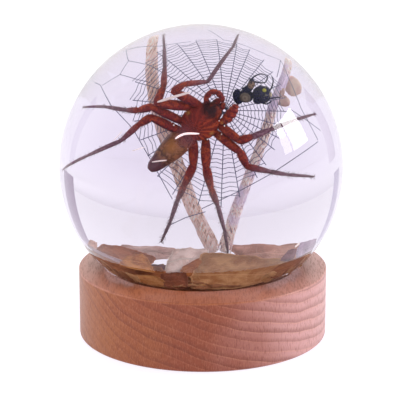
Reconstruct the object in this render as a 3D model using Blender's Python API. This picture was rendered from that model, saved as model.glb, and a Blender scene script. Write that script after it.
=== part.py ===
"""A spider on its web, with twigs, a caught fly, petals and dead leaves, sealed in a clear resin
globe that stands on a turned wood base.

The origin is the centre of the base's underside, +Z is up and -Y is the front. Sizes below are in
millimetres and are turned into Blender's metres by MM.
"""
from math import asin, cos, pi, radians, sin

import bmesh
import bpy
from mathutils import Matrix, Vector

MM = 0.001
MERGE_DISTANCE = 1e-4
SHARP_ANGLE = radians(40.0)

# The wood base, turned in one piece.
BASE_RADIUS = 39.8
BASE_RIM_HEIGHT = 22.0
BASE_SEAT_HEIGHT = 22.8
BASE_SEAT_RADIUS = 32.6
BASE_FOOT_ROUND = 0.8
BASE_FOOT_STEPS = 3
BASE_RIM_BREAK = 0.35
BASE_SEGMENTS = 48

# The globe: a ball with a flat, bevelled foot, 0.3 mm above the seat. Its steps run from the foot up to
# the widest level, and from there to the top.
GLOBE_RADIUS = 45.0
GLOBE_CENTRE = (-0.5, 0.0, 54.7)
GLOBE_FOOT_HEIGHT = 23.1
GLOBE_FOOT_RADIUS = 31.6
GLOBE_BEVEL_HEIGHT = 1.1
GLOBE_SEGMENTS = 40
GLOBE_STEPS_BELOW = 4
GLOBE_STEPS_ABOVE = 8

# The globe is parted on the plane of the web.
WEB_PLANE_Y = 2.0
PARTING_GAP = 0.3
CLEARANCE = 0.35

# The web: a flat net of spokes in equal angle steps round its hub, and rings between them.
WEB_HUB = (4.6, 66.8)
WEB_HUB_RADIUS = 1.6
WEB_THICKNESS = 0.3
WEB_THREAD = 0.32
THREAD_SHRINK = 0.85
WEB_RINGS = (0.36, 0.68, 1.0)
# Reach of each spoke, from +X and counter-clockwise in equal angles.
WEB_REACH = (15.0, 15.3, 16.6, 18.8, 20.0, 21.4, 21.8, 20.4, 19.4, 20.4, 21.6, 19.4, 15.2, 15.6)
# Anchor threads: the number of the spoke each starts from, and where it ends in the resin, x and z.
WEB_ANCHORS = (
    (5, (-21.0, 87.0)),
    (4, (1.5, 92.0)),
    (6, (-27.5, 76.0)),
    (2, (20.0, 83.0)),
    (13, (26.5, 62.5)),
    (10, (25.0, 59.0)),
)
SLOT_CENTRE = (-1.0, 64.0)
SLOT_RADIUS = 31.5
SLOT_SEGMENTS = 32
SLOT_DEPTH = 0.3

# The hollow of the leaf bed: its turned outline as radius and height.
BED_OUTLINE = ((0.0, 24.6), (30.6, 24.6), (34.6, 29.0), (37.4, 34.5), (38.0, 39.6), (34.0, 42.4), (16.0, 42.4),
               (9.0, 38.8), (0.0, 38.4))
BED_SEGMENTS = 32

# Faces round and along a lump of the spider, a lump of a small piece and a rounded hollow.
BODY_FACES = (12, 8)
SMALL_FACES = (10, 6)
HOLLOW_FACES = (14, 8)

# The spider's body: centre, half sizes along, across and through the body, and turn about Y.
BODY_HEADING = 45.0
CARAPACE = ((-0.4, -2.8, 66.2), (4.6, 4.2, 2.0))
HEAD = ((1.9, -3.1, 68.5), (2.6, 2.3, 1.8))
ABDOMEN = ((-7.3, -2.9, 58.7), (6.4, 2.9, 2.7))
JAWS = ((3.1, -2.7, 69.9), (1.5, 1.7, 1.3))

# Each leg from its hip to its claw, as x, y and z. Knees stand out to the front.
LEG_WIDTHS = (0.75, 1.0, 0.8, 0.65, 0.45, 0.28)
LEGS = {
    "second_left": ((-2.5, -2.2, 67.5), (-11.0, -5.5, 71.2), (-9.3, -4.0, 75.0), (-9.2, -2.2, 80.0),
                    (-9.8, -0.4, 86.0), (-10.9, 1.0, 92.0)),
    "first_left": ((-0.6, -2.2, 69.0), (-6.9, -5.5, 74.0), (-4.4, -4.8, 75.8), (1.1, -3.0, 75.7),
                   (7.5, 0.0, 85.4), (9.8, 1.0, 92.0)),
    "third_left": ((-4.0, -2.2, 65.8), (-12.0, -5.0, 69.9), (-15.4, -4.0, 69.1), (-18.0, -2.9, 69.4),
                   (-23.0, -0.8, 69.7), (-29.0, 1.0, 69.6)),
    "fourth_left": ((-4.6, -2.2, 64.0), (-12.0, -5.0, 67.4), (-15.2, -3.6, 64.0), (-18.6, -2.4, 60.8),
                    (-26.5, -0.4, 57.0), (-34.5, 1.0, 53.4)),
    "fourth_front": ((-1.8, -2.2, 62.6), (-2.0, -4.6, 56.3), (-3.9, -4.2, 51.6), (-5.2, -3.0, 48.4),
                     (-7.0, -0.8, 42.6), (-8.7, 1.0, 38.4)),
    "third_right": ((0.4, -2.2, 62.6), (0.6, -4.6, 55.4), (1.7, -4.0, 50.5), (3.1, -3.0, 46.6),
                    (4.4, -0.8, 41.0), (4.6, 1.0, 37.9)),
    "second_right": ((2.2, -2.2, 63.4), (8.2, -5.0, 59.2), (9.6, -4.0, 55.6), (14.8, -2.4, 54.0),
                     (18.2, -0.8, 53.0), (24.0, 1.0, 52.1)),
    "first_right": ((3.0, -2.2, 65.0), (8.2, -5.0, 61.8), (11.0, -4.4, 62.6), (15.2, -3.0, 64.0),
                    (21.5, -0.2, 65.8), (26.4, 1.0, 67.1)),
}
PALP_WIDTHS = (0.6, 0.6, 0.65, 0.65, 0.6, 0.5)
PALPS = {
    "left": ((0.9, -2.9, 69.4), (0.6, -3.3, 71.6), (1.7, -3.7, 73.3), (3.2, -3.8, 73.3), (4.3, -3.6, 71.9),
             (4.4, -3.2, 70.6)),
    "right": ((3.6, -3.0, 66.4), (4.8, -3.4, 67.4), (5.8, -3.5, 68.3), (6.6, -3.5, 69.2), (7.2, -3.4, 69.9),
              (7.6, -3.3, 70.4)),
}
LIMB_RESOLUTION = 1

# The twigs stand behind the web.
TWIG_Y = 4.0
TWIG_RESOLUTION = 2
TWIGS = {
    "twig_left": (((-12.9, 89.0), (-12.0, 80.0), (-10.7, 70.5), (-8.5, 62.0), (-5.2, 53.0), (-2.2, 45.5),
                   (0.2, 37.3)), (1.4, 1.5, 1.5, 1.55, 1.6, 1.6, 1.5)),
    "twig_right": (((22.0, 82.0), (18.0, 73.6), (15.4, 68.2), (12.6, 60.0), (8.6, 50.8), (5.6, 43.6),
                    (4.0, 37.3)), (1.3, 1.35, 1.4, 1.45, 1.4, 1.4, 1.4)),
}

# The fly in the web: centre and half sizes of head, thorax and tail, then wing and legs.
FLY_Y = -0.9
FLY_LUMPS = (((8.1, 71.2), (1.0, 1.3, 1.1)), ((10.1, 71.3), (1.7, 1.5, 1.4)), ((13.2, 71.9), (2.0, 2.1, 1.6)))
FLY_LIMBS = {
    "wing": (((10.3, 72.0), (10.8, 74.0), (11.2, 75.6)), 0.75),
    "front_leg": (((11.0, 75.0), (13.0, 77.3), (14.4, 77.0)), 0.25),
    "middle_leg": (((12.2, 73.2), (13.4, 75.4), (14.8, 76.8)), 0.25),
    "hind_leg": (((14.6, 72.6), (15.7, 73.8), (16.0, 76.2)), 0.25),
    "tail_leg": (((14.4, 70.8), (15.8, 70.5), (17.2, 70.8)), 0.25),
}
FLY_HOLLOW = ((12.2, -0.2, 73.7), (7.6, 6.0, 4.2))

# The petals beside the right twig: centre, half sizes and turn about Y.
PETALS_Y = 4.4
PETALS = (((21.9, 72.6), (2.4, 1.7, 0.5), 70.0), ((19.9, 69.4), (2.0, 1.3, 0.5), 25.0),
          ((20.3, 71.2), (1.6, 1.1, 0.6), 70.0))
PETALS_HOLLOW = ((20.9, 4.0, 71.2), (4.4, 5.6, 3.0))

# Each leaf: stem and tip as x, y and z, width, roll about its midrib, bow of the midrib, curl of the
# sides, in millimetres and degrees.
LEAF_THICKNESS = 0.6
LEAF_END = 0.22
LEAF_FULLNESS = 0.75
LEAF_ROWS = 6
LEAF_COLUMNS = 4
LEAVES = {
    "leaf_right": ((2.0, 5.0, 33.6), (33.0, 3.0, 37.4), 19.0, 24.0, 1.0, 1.2),
    "leaf_front_right": ((27.0, -17.5, 31.5), (-2.5, -19.0, 29.2), 17.5, 24.0, 1.4, 0.8),
    "leaf_pale": ((-12.0, -11.5, 31.6), (1.0, -6.0, 35.4), 6.6, 38.0, 1.4, 0.9),
    "leaf_left": ((-4.5, 4.5, 34.6), (-33.6, -1.0, 37.4), 15.0, -26.0, 0.9, 1.0),
    "leaf_tan": ((-13.5, -16.2, 31.6), (-24.5, -15.6, 34.4), 6.6, -34.0, 0.8, 0.6),
    "leaf_front_left": ((-4.5, -25.5, 26.4), (-27.5, -15.0, 27.4), 8.6, -24.0, 0.8, 0.5),
    "leaf_dark": ((-9.5, -18.5, 28.6), (2.0, -12.5, 27.0), 6.0, 22.0, 0.6, 0.4),
    "leaf_scrap": ((-29.5, -12.0, 36.0), (-33.0, -8.0, 38.2), 3.6, -30.0, 0.2, 0.2),
    "leaf_back_left": ((1.0, 21.0, 30.6), (-29.0, 15.5, 33.4), 17.0, 16.0, 1.4, 1.0),
    "leaf_back_right": ((3.5, 24.0, 30.2), (31.0, 14.5, 33.8), 13.0, -14.0, 1.2, 0.9),
}

COLOURS = {
    "wood_base": ((0.52, 0.25, 0.15), 0.45),
    "globe_front": ((0.88, 0.85, 0.92), 0.05),
    "globe_back": ((0.88, 0.85, 0.92), 0.05),
    "spider": ((0.16, 0.03, 0.012), 0.35),
    "web": ((0.25, 0.26, 0.36), 0.6),
    "twig_left": ((0.42, 0.30, 0.22), 0.85),
    "twig_right": ((0.42, 0.30, 0.24), 0.85),
    "prey_fly": ((0.02, 0.025, 0.05), 0.4),
    "dried_petals": ((0.62, 0.45, 0.36), 0.8),
    "leaf_right": ((0.44, 0.27, 0.18), 0.75),
    "leaf_front_right": ((0.42, 0.25, 0.12), 0.75),
    "leaf_pale": ((0.58, 0.47, 0.38), 0.75),
    "leaf_left": ((0.30, 0.13, 0.06), 0.75),
    "leaf_tan": ((0.55, 0.36, 0.20), 0.75),
    "leaf_front_left": ((0.32, 0.15, 0.06), 0.75),
    "leaf_dark": ((0.17, 0.06, 0.03), 0.75),
    "leaf_scrap": ((0.60, 0.36, 0.27), 0.75),
    "leaf_back_left": ((0.36, 0.20, 0.10), 0.75),
    "leaf_back_right": ((0.42, 0.26, 0.15), 0.75),
}


def clear_scene():
    for old in list(bpy.data.objects):
        bpy.data.objects.remove(old, do_unlink=True)


def material_for(name):
    colour, roughness = COLOURS[name]
    material = bpy.data.materials.new(name)
    material.use_nodes = True
    shader = material.node_tree.nodes["Principled BSDF"]
    shader.inputs["Base Color"].default_value = (*colour, 1.0)
    shader.inputs["Roughness"].default_value = roughness
    shader.inputs["Metallic"].default_value = 0.0
    if name.startswith("globe"):
        shader.inputs["Transmission Weight"].default_value = 1.0
        shader.inputs["IOR"].default_value = 1.5
    return material


def object_from(bm, name, cutter=False):
    """Scale a millimetre bmesh to metres and put it in the scene."""
    bmesh.ops.scale(bm, vec=(MM, MM, MM), verts=bm.verts)
    mesh = bpy.data.meshes.new(name)
    bm.to_mesh(mesh)
    bm.free()
    obj = bpy.data.objects.new(name, mesh)
    bpy.context.scene.collection.objects.link(obj)
    if cutter:
        obj.hide_render = True
        obj.display_type = "WIRE"
    else:
        mesh.materials.append(material_for(name))
        mesh.shade_smooth()
        mesh.set_sharp_from_angle(angle=SHARP_ANGLE)
    return obj


def boolean(obj, other, operation, self_overlap=False):
    modifier = obj.modifiers.new(other.name, "BOOLEAN")
    modifier.solver = "EXACT"
    modifier.operation = operation
    modifier.object = other
    modifier.use_self = self_overlap


def turned(outline, segments, centre=(0.0, 0.0)):
    """A closed solid turned about Z from an outline that starts and ends on the axis."""
    bm = bmesh.new()
    verts = [bm.verts.new((radius, 0.0, height)) for radius, height in outline]
    edges = [bm.edges.new(pair) for pair in zip(verts, verts[1:])]
    bmesh.ops.spin(bm, geom=verts + edges, axis=(0.0, 0.0, 1.0), cent=(0.0, 0.0, 0.0), angle=2.0 * pi,
                   steps=segments, use_merge=True)
    bmesh.ops.remove_doubles(bm, verts=bm.verts, dist=MERGE_DISTANCE)
    bmesh.ops.recalc_face_normals(bm, faces=bm.faces)
    bmesh.ops.translate(bm, vec=(centre[0], centre[1], 0.0), verts=bm.verts)
    return bm


def add_lump(bm, centre, half_sizes, turn_about_y=0.0, faces=BODY_FACES, grow=0.0):
    """An ellipsoid with its poles along its own X axis, turned about Y."""
    made = bmesh.ops.create_uvsphere(bm, u_segments=faces[0], v_segments=faces[1], radius=1.0)["verts"]
    along, across, through = (size + grow for size in half_sizes)
    lay_down = Matrix.Rotation(radians(90.0), 4, "Y")
    stretch = Matrix.Diagonal((along, through, across, 1.0))
    place = Matrix.Translation(centre) @ Matrix.Rotation(radians(-turn_about_y), 4, "Y")
    bmesh.ops.transform(bm, matrix=place @ stretch @ lay_down, verts=made)
    return made


def add_tube(bm, points, radii, grow=0.0, resolution=LIMB_RESOLUTION):
    """A tapered tube with closed ends, from a curve through the points."""
    curve = bpy.data.curves.new("tube", "CURVE")
    curve.dimensions = "3D"
    curve.bevel_depth = 1.0
    curve.bevel_resolution = resolution
    curve.use_fill_caps = True
    spline = curve.splines.new("POLY")
    spline.points.add(len(points) - 1)
    for point, place, radius in zip(spline.points, points, radii):
        point.co = (*place, 1.0)
        point.radius = radius + grow
    carrier = bpy.data.objects.new("tube", curve)
    bpy.context.scene.collection.objects.link(carrier)
    mesh = bpy.data.meshes.new_from_object(carrier.evaluated_get(bpy.context.evaluated_depsgraph_get()))
    there = len(bm.verts)
    bm.from_mesh(mesh)
    bm.verts.ensure_lookup_table()
    bmesh.ops.remove_doubles(bm, verts=bm.verts[there:], dist=MERGE_DISTANCE)
    bpy.data.objects.remove(carrier, do_unlink=True)
    bpy.data.meshes.remove(mesh)


def stretched_ends(points, amount):
    """The same path, run on past both ends by amount."""
    path = [Vector(point) for point in points]
    path[0] += (path[0] - path[1]).normalized() * amount
    path[-1] += (path[-1] - path[-2]).normalized() * amount
    return path


def make_wood_base():
    outline = [(0.0, 0.0), (BASE_RADIUS - BASE_FOOT_ROUND, 0.0)]
    for step in range(1, BASE_FOOT_STEPS + 1):
        turn = pi / 2.0 * step / BASE_FOOT_STEPS
        outline.append((BASE_RADIUS - BASE_FOOT_ROUND * (1.0 - sin(turn)), BASE_FOOT_ROUND * (1.0 - cos(turn))))
    outline += [
        (BASE_RADIUS, BASE_RIM_HEIGHT - BASE_RIM_BREAK),
        (BASE_RADIUS - BASE_RIM_BREAK, BASE_RIM_HEIGHT),
        (BASE_SEAT_RADIUS, BASE_SEAT_HEIGHT),
        (0.0, BASE_SEAT_HEIGHT),
    ]
    return object_from(turned(outline, BASE_SEGMENTS), "wood_base")


def make_globe_halves():
    """The ball with its flat foot, parted into a front and a back half."""
    centre_height = GLOBE_CENTRE[2]
    bevel_top = GLOBE_FOOT_HEIGHT + GLOBE_BEVEL_HEIGHT
    start = -asin((centre_height - bevel_top) / GLOBE_RADIUS)
    outline = [(0.0, GLOBE_FOOT_HEIGHT), (GLOBE_FOOT_RADIUS, GLOBE_FOOT_HEIGHT)]
    latitudes = [start * (1.0 - step / GLOBE_STEPS_BELOW) for step in range(GLOBE_STEPS_BELOW)]
    latitudes += [pi / 2.0 * step / GLOBE_STEPS_ABOVE for step in range(GLOBE_STEPS_ABOVE)]
    for latitude in latitudes:
        outline.append((GLOBE_RADIUS * cos(latitude), centre_height + GLOBE_RADIUS * sin(latitude)))
    outline.append((0.0, centre_height + GLOBE_RADIUS))
    halves = []
    for name, side in (("globe_front", 1.0), ("globe_back", -1.0)):
        bm = turned(outline, GLOBE_SEGMENTS, GLOBE_CENTRE)
        face_y = WEB_PLANE_Y - side * PARTING_GAP / 2.0
        cut = bmesh.ops.bisect_plane(
            bm, geom=bm.verts[:] + bm.edges[:] + bm.faces[:], plane_co=(0.0, face_y, 0.0),
            plane_no=(0.0, side, 0.0), clear_outer=True)["geom_cut"]
        rim = [piece for piece in cut if isinstance(piece, bmesh.types.BMEdge)]
        bmesh.ops.contextual_create(bm, geom=rim)
        bmesh.ops.recalc_face_normals(bm, faces=bm.faces)
        halves.append(object_from(bm, name))
    return halves


def make_slot():
    """The flat round hollow that the web lies in, half in each part of the globe."""
    bm = bmesh.new()
    bmesh.ops.create_cone(bm, cap_ends=True, segments=SLOT_SEGMENTS, radius1=SLOT_RADIUS, radius2=SLOT_RADIUS,
                          depth=PARTING_GAP + 2.0 * SLOT_DEPTH)
    bmesh.ops.rotate(bm, matrix=Matrix.Rotation(radians(90.0), 3, "X"), verts=bm.verts)
    bmesh.ops.translate(bm, vec=(SLOT_CENTRE[0], WEB_PLANE_Y, SLOT_CENTRE[1]), verts=bm.verts)
    return object_from(bm, "web_hollow", cutter=True)


def make_bed_hollow():
    return object_from(turned(BED_OUTLINE, BED_SEGMENTS, GLOBE_CENTRE), "bed_hollow", cutter=True)


def add_spider_limbs(bm, grow=0.0):
    """Head, jaws, tail, palps and legs as shells that run into one another."""
    for centre, half_sizes in (HEAD, ABDOMEN, JAWS):
        add_lump(bm, centre, half_sizes, BODY_HEADING, grow=grow)
    for joints in PALPS.values():
        add_tube(bm, stretched_ends(joints, grow), PALP_WIDTHS, grow)
    for joints in LEGS.values():
        add_tube(bm, stretched_ends(joints, grow), LEG_WIDTHS, grow)


def make_spider(name, grow=0.0):
    """The carapace with everything that grows from it, or the same shape grown to make its hollow."""
    hollow = grow > 0.0
    carapace = bmesh.new()
    add_lump(carapace, *CARAPACE, BODY_HEADING, grow=grow)
    limbs = bmesh.new()
    add_spider_limbs(limbs, grow)
    spider = object_from(carapace, name, cutter=hollow)
    boolean(spider, object_from(limbs, name + "_limbs", cutter=True), "UNION", self_overlap=True)
    return spider


def web_point(spoke, reach):
    angle = 2.0 * pi * spoke / len(WEB_REACH)
    return Vector((WEB_HUB[0] + reach * cos(angle), WEB_PLANE_Y, WEB_HUB[1] + reach * sin(angle)))


def make_web():
    """A flat net: the cells between spokes and rings are cut out of a sheet, which then gets its depth."""
    spokes = len(WEB_REACH)
    net = bmesh.new()
    rings = []
    for part in (0.0, *WEB_RINGS):
        corners = [web_point(spoke, WEB_HUB_RADIUS + (reach - WEB_HUB_RADIUS) * part)
                   for spoke, reach in enumerate(WEB_REACH)]
        rings.append([net.verts.new(corner) for corner in corners])
    net.faces.new(rings[0])
    cells = []
    for inner, outer in zip(rings, rings[1:]):
        for spoke in range(spokes):
            after = (spoke + 1) % spokes
            cells.append(net.faces.new((inner[spoke], outer[spoke], outer[after], inner[after])))
    net.normal_update()
    bmesh.ops.inset_individual(net, faces=cells, thickness=WEB_THREAD / 2.0, use_even_offset=True)
    bmesh.ops.delete(net, geom=cells, context="FACES")
    give_depth(net, WEB_THICKNESS)
    web = object_from(net, "web")
    anchors = bmesh.new()
    for spoke, (x, z) in WEB_ANCHORS:
        add_thread(anchors, web_point(spoke, WEB_REACH[spoke] - WEB_THREAD), Vector((x, WEB_PLANE_Y, z)))
    boolean(web, object_from(anchors, "web_anchors", cutter=True), "UNION", self_overlap=True)
    return web


def give_depth(bm, depth):
    """Turn a flat sheet in the XZ plane into a closed plate, half its depth to each side."""
    bmesh.ops.translate(bm, vec=(0.0, -depth / 2.0, 0.0), verts=bm.verts)
    sheet = bmesh.ops.extrude_face_region(bm, geom=bm.faces[:], use_keep_orig=True)["geom"]
    moved = [piece for piece in sheet if isinstance(piece, bmesh.types.BMVert)]
    bmesh.ops.translate(bm, vec=(0.0, depth, 0.0), verts=moved)
    bmesh.ops.recalc_face_normals(bm, faces=bm.faces)


def add_thread(bm, start, end):
    """A straight square thread in the plane of the web."""
    run = end - start
    side = WEB_THREAD * THREAD_SHRINK
    matrix = (Matrix.Translation((start + end) / 2.0) @ run.to_track_quat("X", "Y").to_matrix().to_4x4()
              @ Matrix.Diagonal((run.length, side, side, 1.0)))
    bmesh.ops.create_cube(bm, size=1.0, matrix=matrix)


def make_twig(name, grow=0.0):
    path, radii = TWIGS[name]
    points = stretched_ends([(x, TWIG_Y, z) for x, z in path], grow)
    bm = bmesh.new()
    add_tube(bm, points, radii, grow, TWIG_RESOLUTION)
    return object_from(bm, name if grow == 0.0 else name + "_hollow", cutter=grow > 0.0)


def make_fly():
    limbs = bmesh.new()
    for (x, z), half_sizes in FLY_LUMPS[1:]:
        add_lump(limbs, (x, FLY_Y, z), half_sizes, faces=SMALL_FACES)
    for path, radius in FLY_LIMBS.values():
        add_tube(limbs, [(x, FLY_Y, z) for x, z in path], [radius] * len(path))
    head = bmesh.new()
    (x, z), half_sizes = FLY_LUMPS[0]
    add_lump(head, (x, FLY_Y, z), half_sizes, faces=SMALL_FACES)
    fly = object_from(head, "prey_fly")
    boolean(fly, object_from(limbs, "prey_fly_limbs", cutter=True), "UNION", self_overlap=True)
    return fly


def make_petals():
    lobes = []
    for (x, z), half_sizes, turn in PETALS:
        lobe = bmesh.new()
        add_lump(lobe, (x, PETALS_Y, z), half_sizes, turn, SMALL_FACES)
        lobes.append(lobe)
    petals = object_from(lobes[0], "dried_petals")
    for number, lobe in enumerate(lobes[1:], start=2):
        boolean(petals, object_from(lobe, f"petal_{number}", cutter=True), "UNION")
    return petals


def make_round_hollow(name, centre, half_sizes):
    """A plain rounded hollow for a small piece, from the web's hollow outwards."""
    bm = bmesh.new()
    add_lump(bm, centre, half_sizes, faces=HOLLOW_FACES)
    return object_from(bm, name, cutter=True)


def make_leaf(name):
    """A bowed sheet, pointed at both ends, laid from its stem to its tip."""
    stem, tip, width, roll, bow, curl = LEAVES[name]
    stem, tip = Vector(stem), Vector(tip)
    along = tip - stem
    across = along.cross(Vector((0.0, 0.0, 1.0))).normalized()
    across.rotate(Matrix.Rotation(radians(roll), 3, along.normalized()))
    up = across.cross(along).normalized()
    bm = bmesh.new()
    bmesh.ops.create_grid(bm, x_segments=LEAF_ROWS, y_segments=LEAF_COLUMNS, size=0.5)
    for vert in bm.verts:
        part, side = vert.co.x + 0.5, vert.co.y * 2.0
        half_width = width / 2.0 * (LEAF_END + (1.0 - LEAF_END) * sin(pi * part) ** LEAF_FULLNESS)
        lift = bow * 4.0 * part * (1.0 - part) + curl * side * side * sin(pi * part)
        vert.co = stem + along * part + across * side * half_width + up * lift
    bmesh.ops.solidify(bm, geom=bm.faces[:], thickness=LEAF_THICKNESS)
    bmesh.ops.recalc_face_normals(bm, faces=bm.faces)
    return object_from(bm, name)


def main():
    clear_scene()
    make_wood_base()
    front, back = make_globe_halves()
    make_spider("spider")
    make_web()
    make_fly()
    make_petals()
    for name in LEAVES:
        make_leaf(name)
    slot, bed = make_slot(), make_bed_hollow()
    for half in (front, back):
        boolean(half, bed, "DIFFERENCE")
        boolean(half, slot, "DIFFERENCE")
    for name in TWIGS:
        make_twig(name)
        boolean(back, make_twig(name, CLEARANCE), "DIFFERENCE")
    boolean(back, make_round_hollow("petals_hollow", *PETALS_HOLLOW), "DIFFERENCE")
    boolean(front, make_round_hollow("fly_hollow", *FLY_HOLLOW), "DIFFERENCE")
    boolean(front, make_spider("spider_hollow", CLEARANCE), "DIFFERENCE", self_overlap=True)


main()
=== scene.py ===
"""The looks of a spider and its orb web, cast in a clear resin globe that stands on a turned beech base.

Lengths are millimetres unless a comment or a setting says otherwise, in the solid model's own frame: the
origin is the centre of the base's underside, +Z is up and -Y is the front.
"""
from math import asin, atan2, cos, exp, pi, radians, sin, sqrt
from random import Random

import bmesh
import bpy
from bpy.props import FloatProperty, FloatVectorProperty, IntProperty, PointerProperty
from mathutils import Matrix, Vector, noise


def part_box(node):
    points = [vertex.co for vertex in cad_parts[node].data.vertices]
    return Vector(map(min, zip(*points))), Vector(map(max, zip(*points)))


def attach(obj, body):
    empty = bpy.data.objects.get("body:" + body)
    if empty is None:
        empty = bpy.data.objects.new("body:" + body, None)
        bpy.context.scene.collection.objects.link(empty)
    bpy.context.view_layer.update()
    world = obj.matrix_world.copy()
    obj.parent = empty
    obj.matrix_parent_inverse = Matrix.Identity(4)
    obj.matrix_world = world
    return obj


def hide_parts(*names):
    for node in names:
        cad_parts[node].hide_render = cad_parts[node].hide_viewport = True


bl_info = {
    "name": "Spider in a resin globe",
    "version": (1, 0, 0),
    "blender": (4, 5, 0),
    "location": "3D View > Sidebar > Resin Globe",
    "description": "Builds a spider, its web, twigs and leaves in a clear globe on a wood base",
    "category": "Object",
}

MM = 0.001
# Seeds of what is drawn at random. Leaves and petals count up from theirs.
SPIDER_SEED, WEB_SEED, GLINT_DOT_SEED, TORN_SEED, PETAL_SEED = 11, 5, 9, 20, 40

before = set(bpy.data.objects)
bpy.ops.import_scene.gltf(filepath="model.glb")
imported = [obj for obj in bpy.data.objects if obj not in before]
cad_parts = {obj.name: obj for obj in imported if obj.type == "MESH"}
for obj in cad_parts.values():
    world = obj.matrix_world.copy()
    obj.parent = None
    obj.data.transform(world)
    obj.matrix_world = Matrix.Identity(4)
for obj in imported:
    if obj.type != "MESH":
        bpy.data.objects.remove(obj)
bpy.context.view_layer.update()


def box_mm(node):
    """Lowest and highest corner of a node of the frame, in millimetres."""
    low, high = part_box(node)
    return low / MM, high / MM


BASE_LOW, BASE_HIGH = box_mm("wood_base")
FRONT_LOW, FRONT_HIGH = box_mm("globe_front")

BASE_RADIUS = (BASE_HIGH.x - BASE_LOW.x) / 2.0
SEAT_HEIGHT = BASE_HIGH.z
GLOBE_RADIUS = (FRONT_HIGH.x - FRONT_LOW.x) / 2.0
GLOBE_CENTRE = Vector(((FRONT_LOW.x + FRONT_HIGH.x) / 2.0, 0.0, FRONT_HIGH.z - GLOBE_RADIUS))
GLOBE_FOOT = FRONT_LOW.z
WEB_Y = (box_mm("web")[0].y + box_mm("web")[1].y) / 2.0

# The turned base, below its seat.
RIM_DROP = 0.8
RIM_BREAK = 0.35
FOOT_ROUND = 0.8
SEAT_RADIUS = 32.6
SIDE_HEIGHTS = (4.0, 8.0, 12.0, 16.0, 20.0)
FOOT_STEPS, RIM_STEPS, TOP_STEPS = 6, 5, 7
TURNED_STEPS = 160

# The globe's foot: a narrow bevel, above which the wall runs a little inside the true ball.
FOOT_RADIUS = 31.6
FOOT_BEVEL = 1.1
FOOT_BREAK = (0.3, 0.2)
FOOT_TUCK = 0.5
FOOT_TUCK_HEIGHT = 9.0
GLOBE_TURN_STEPS = 176
GLOBE_ARC_STEPS = 90

# The spider's body: where the carapace sits, and its heading from +X in the plane of the web.
BODY_CENTRE = Vector((-0.5, -2.8, 65.7))
BODY_HEADING = radians(45.0)
CARAPACE_HALF = (4.7, 4.3, 2.1)
FOVEA = Vector((-2.2, 0.0))
FURROWS = 9
HEAD_PLACE, HEAD_HALF = (3.3, 0.0, 0.3), (2.6, 2.3, 1.8)
# The dark patch on the head, from the head's middle.
HEAD_PATCH = (0.4, 0.35, 0.0)
JAW_PLACE, JAW_HALF = (5.4, 0.75, -0.1), (1.5, 0.85, 1.1)
EYES = ((5.0, 0.45, 1.35, 0.26), (5.0, -0.45, 1.35, 0.26), (4.7, 1.15, 1.25, 0.22), (4.7, -1.15, 1.25, 0.22),
        (4.1, 0.55, 1.8, 0.18), (4.1, -0.55, 1.8, 0.18), (3.8, 1.3, 1.5, 0.2), (3.8, -1.3, 1.5, 0.2))
# The tail, from its narrow waist to its end: along the body, and radius.
TAIL_PROFILE = ((-3.4, 0.9), (-4.2, 1.9), (-5.5, 2.55), (-7.4, 2.75), (-9.5, 2.6), (-11.6, 2.2), (-13.7, 1.7),
                (-15.0, 1.3), (-15.8, 0.7))
TAIL_DROP, TAIL_MIDDLE = -0.1, -9.0
# Where the tail glows orange.
TAIL_WARM = (-7.2, -5.5, 60.6)
# Pale soft skin that shows where the legs join the body.
HIP_SPOTS = ((-3.6, -4.0, 68.2), (1.9, -4.2, 63.2), (3.6, -4.2, 63.0), (3.2, -4.3, 61.8), (4.0, -4.4, 65.6))

# Legs: half widths at the joints from hip to claw.
LEG_WIDTHS = (0.86, 0.96, 0.74, 0.50, 0.36, 0.22)
# How stout each leg's thigh is beside the others.
THIGH_GIRTHS = (1.25, 1.15, 1.0, 1.05, 1.1, 1.12, 1.0, 1.0)
# How far up each leg the dull colour of its toe begins: over 1 starts nearer the body.
TOE_REACH = (1.0, 1.0, 1.0, 1.05, 1.0, 1.0, 1.05, 1.3)
# Each leg from its hip to its claw. A femur, knee, shin, foot and toe lie between the points.
LEGS = (
    ((-2.6, -2.4, 69.0), (-10.9, -5.5, 71.2), (-9.3, -4.0, 75.0), (-9.2, -2.2, 80.0), (-9.8, -0.4, 86.0),
     (-10.9, 1.0, 92.0)),
    ((-0.6, -2.4, 69.2), (-7.0, -5.5, 74.2), (-4.6, -4.8, 75.8), (1.1, -3.0, 75.7), (7.5, 0.0, 85.4),
     (9.8, 1.0, 92.0)),
    ((-4.2, -2.2, 65.2), (-12.0, -5.0, 70.1), (-15.0, -3.6, 68.8), (-17.9, -2.8, 68.7), (-23.2, -0.8, 69.2),
     (-29.2, 1.0, 69.2)),
    ((-4.4, -2.2, 62.8), (-12.0, -4.6, 67.4), (-14.6, -3.4, 65.2), (-18.3, -2.4, 61.2), (-26.5, -0.4, 57.0),
     (-34.5, 1.0, 53.4)),
    ((-2.2, -2.2, 61.6), (-2.2, -4.6, 56.0), (-4.2, -4.2, 51.4), (-5.6, -3.0, 47.9), (-7.0, -0.8, 42.8),
     (-8.7, 1.0, 38.4)),
    ((0.5, -2.2, 61.4), (0.6, -4.6, 55.4), (1.7, -4.0, 50.5), (3.1, -3.0, 46.6), (4.4, -0.8, 41.0),
     (5.0, 1.0, 36.3)),
    ((2.4, -2.2, 63.0), (8.2, -5.0, 59.2), (9.6, -4.0, 55.6), (14.8, -2.4, 54.0), (18.2, -0.8, 53.0),
     (24.0, 1.0, 52.1)),
    ((3.2, -2.2, 64.9), (8.2, -5.0, 61.8), (11.0, -4.4, 62.6), (15.2, -3.0, 64.0), (21.5, -0.2, 65.8),
     (26.4, 1.0, 67.1)),
)
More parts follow.
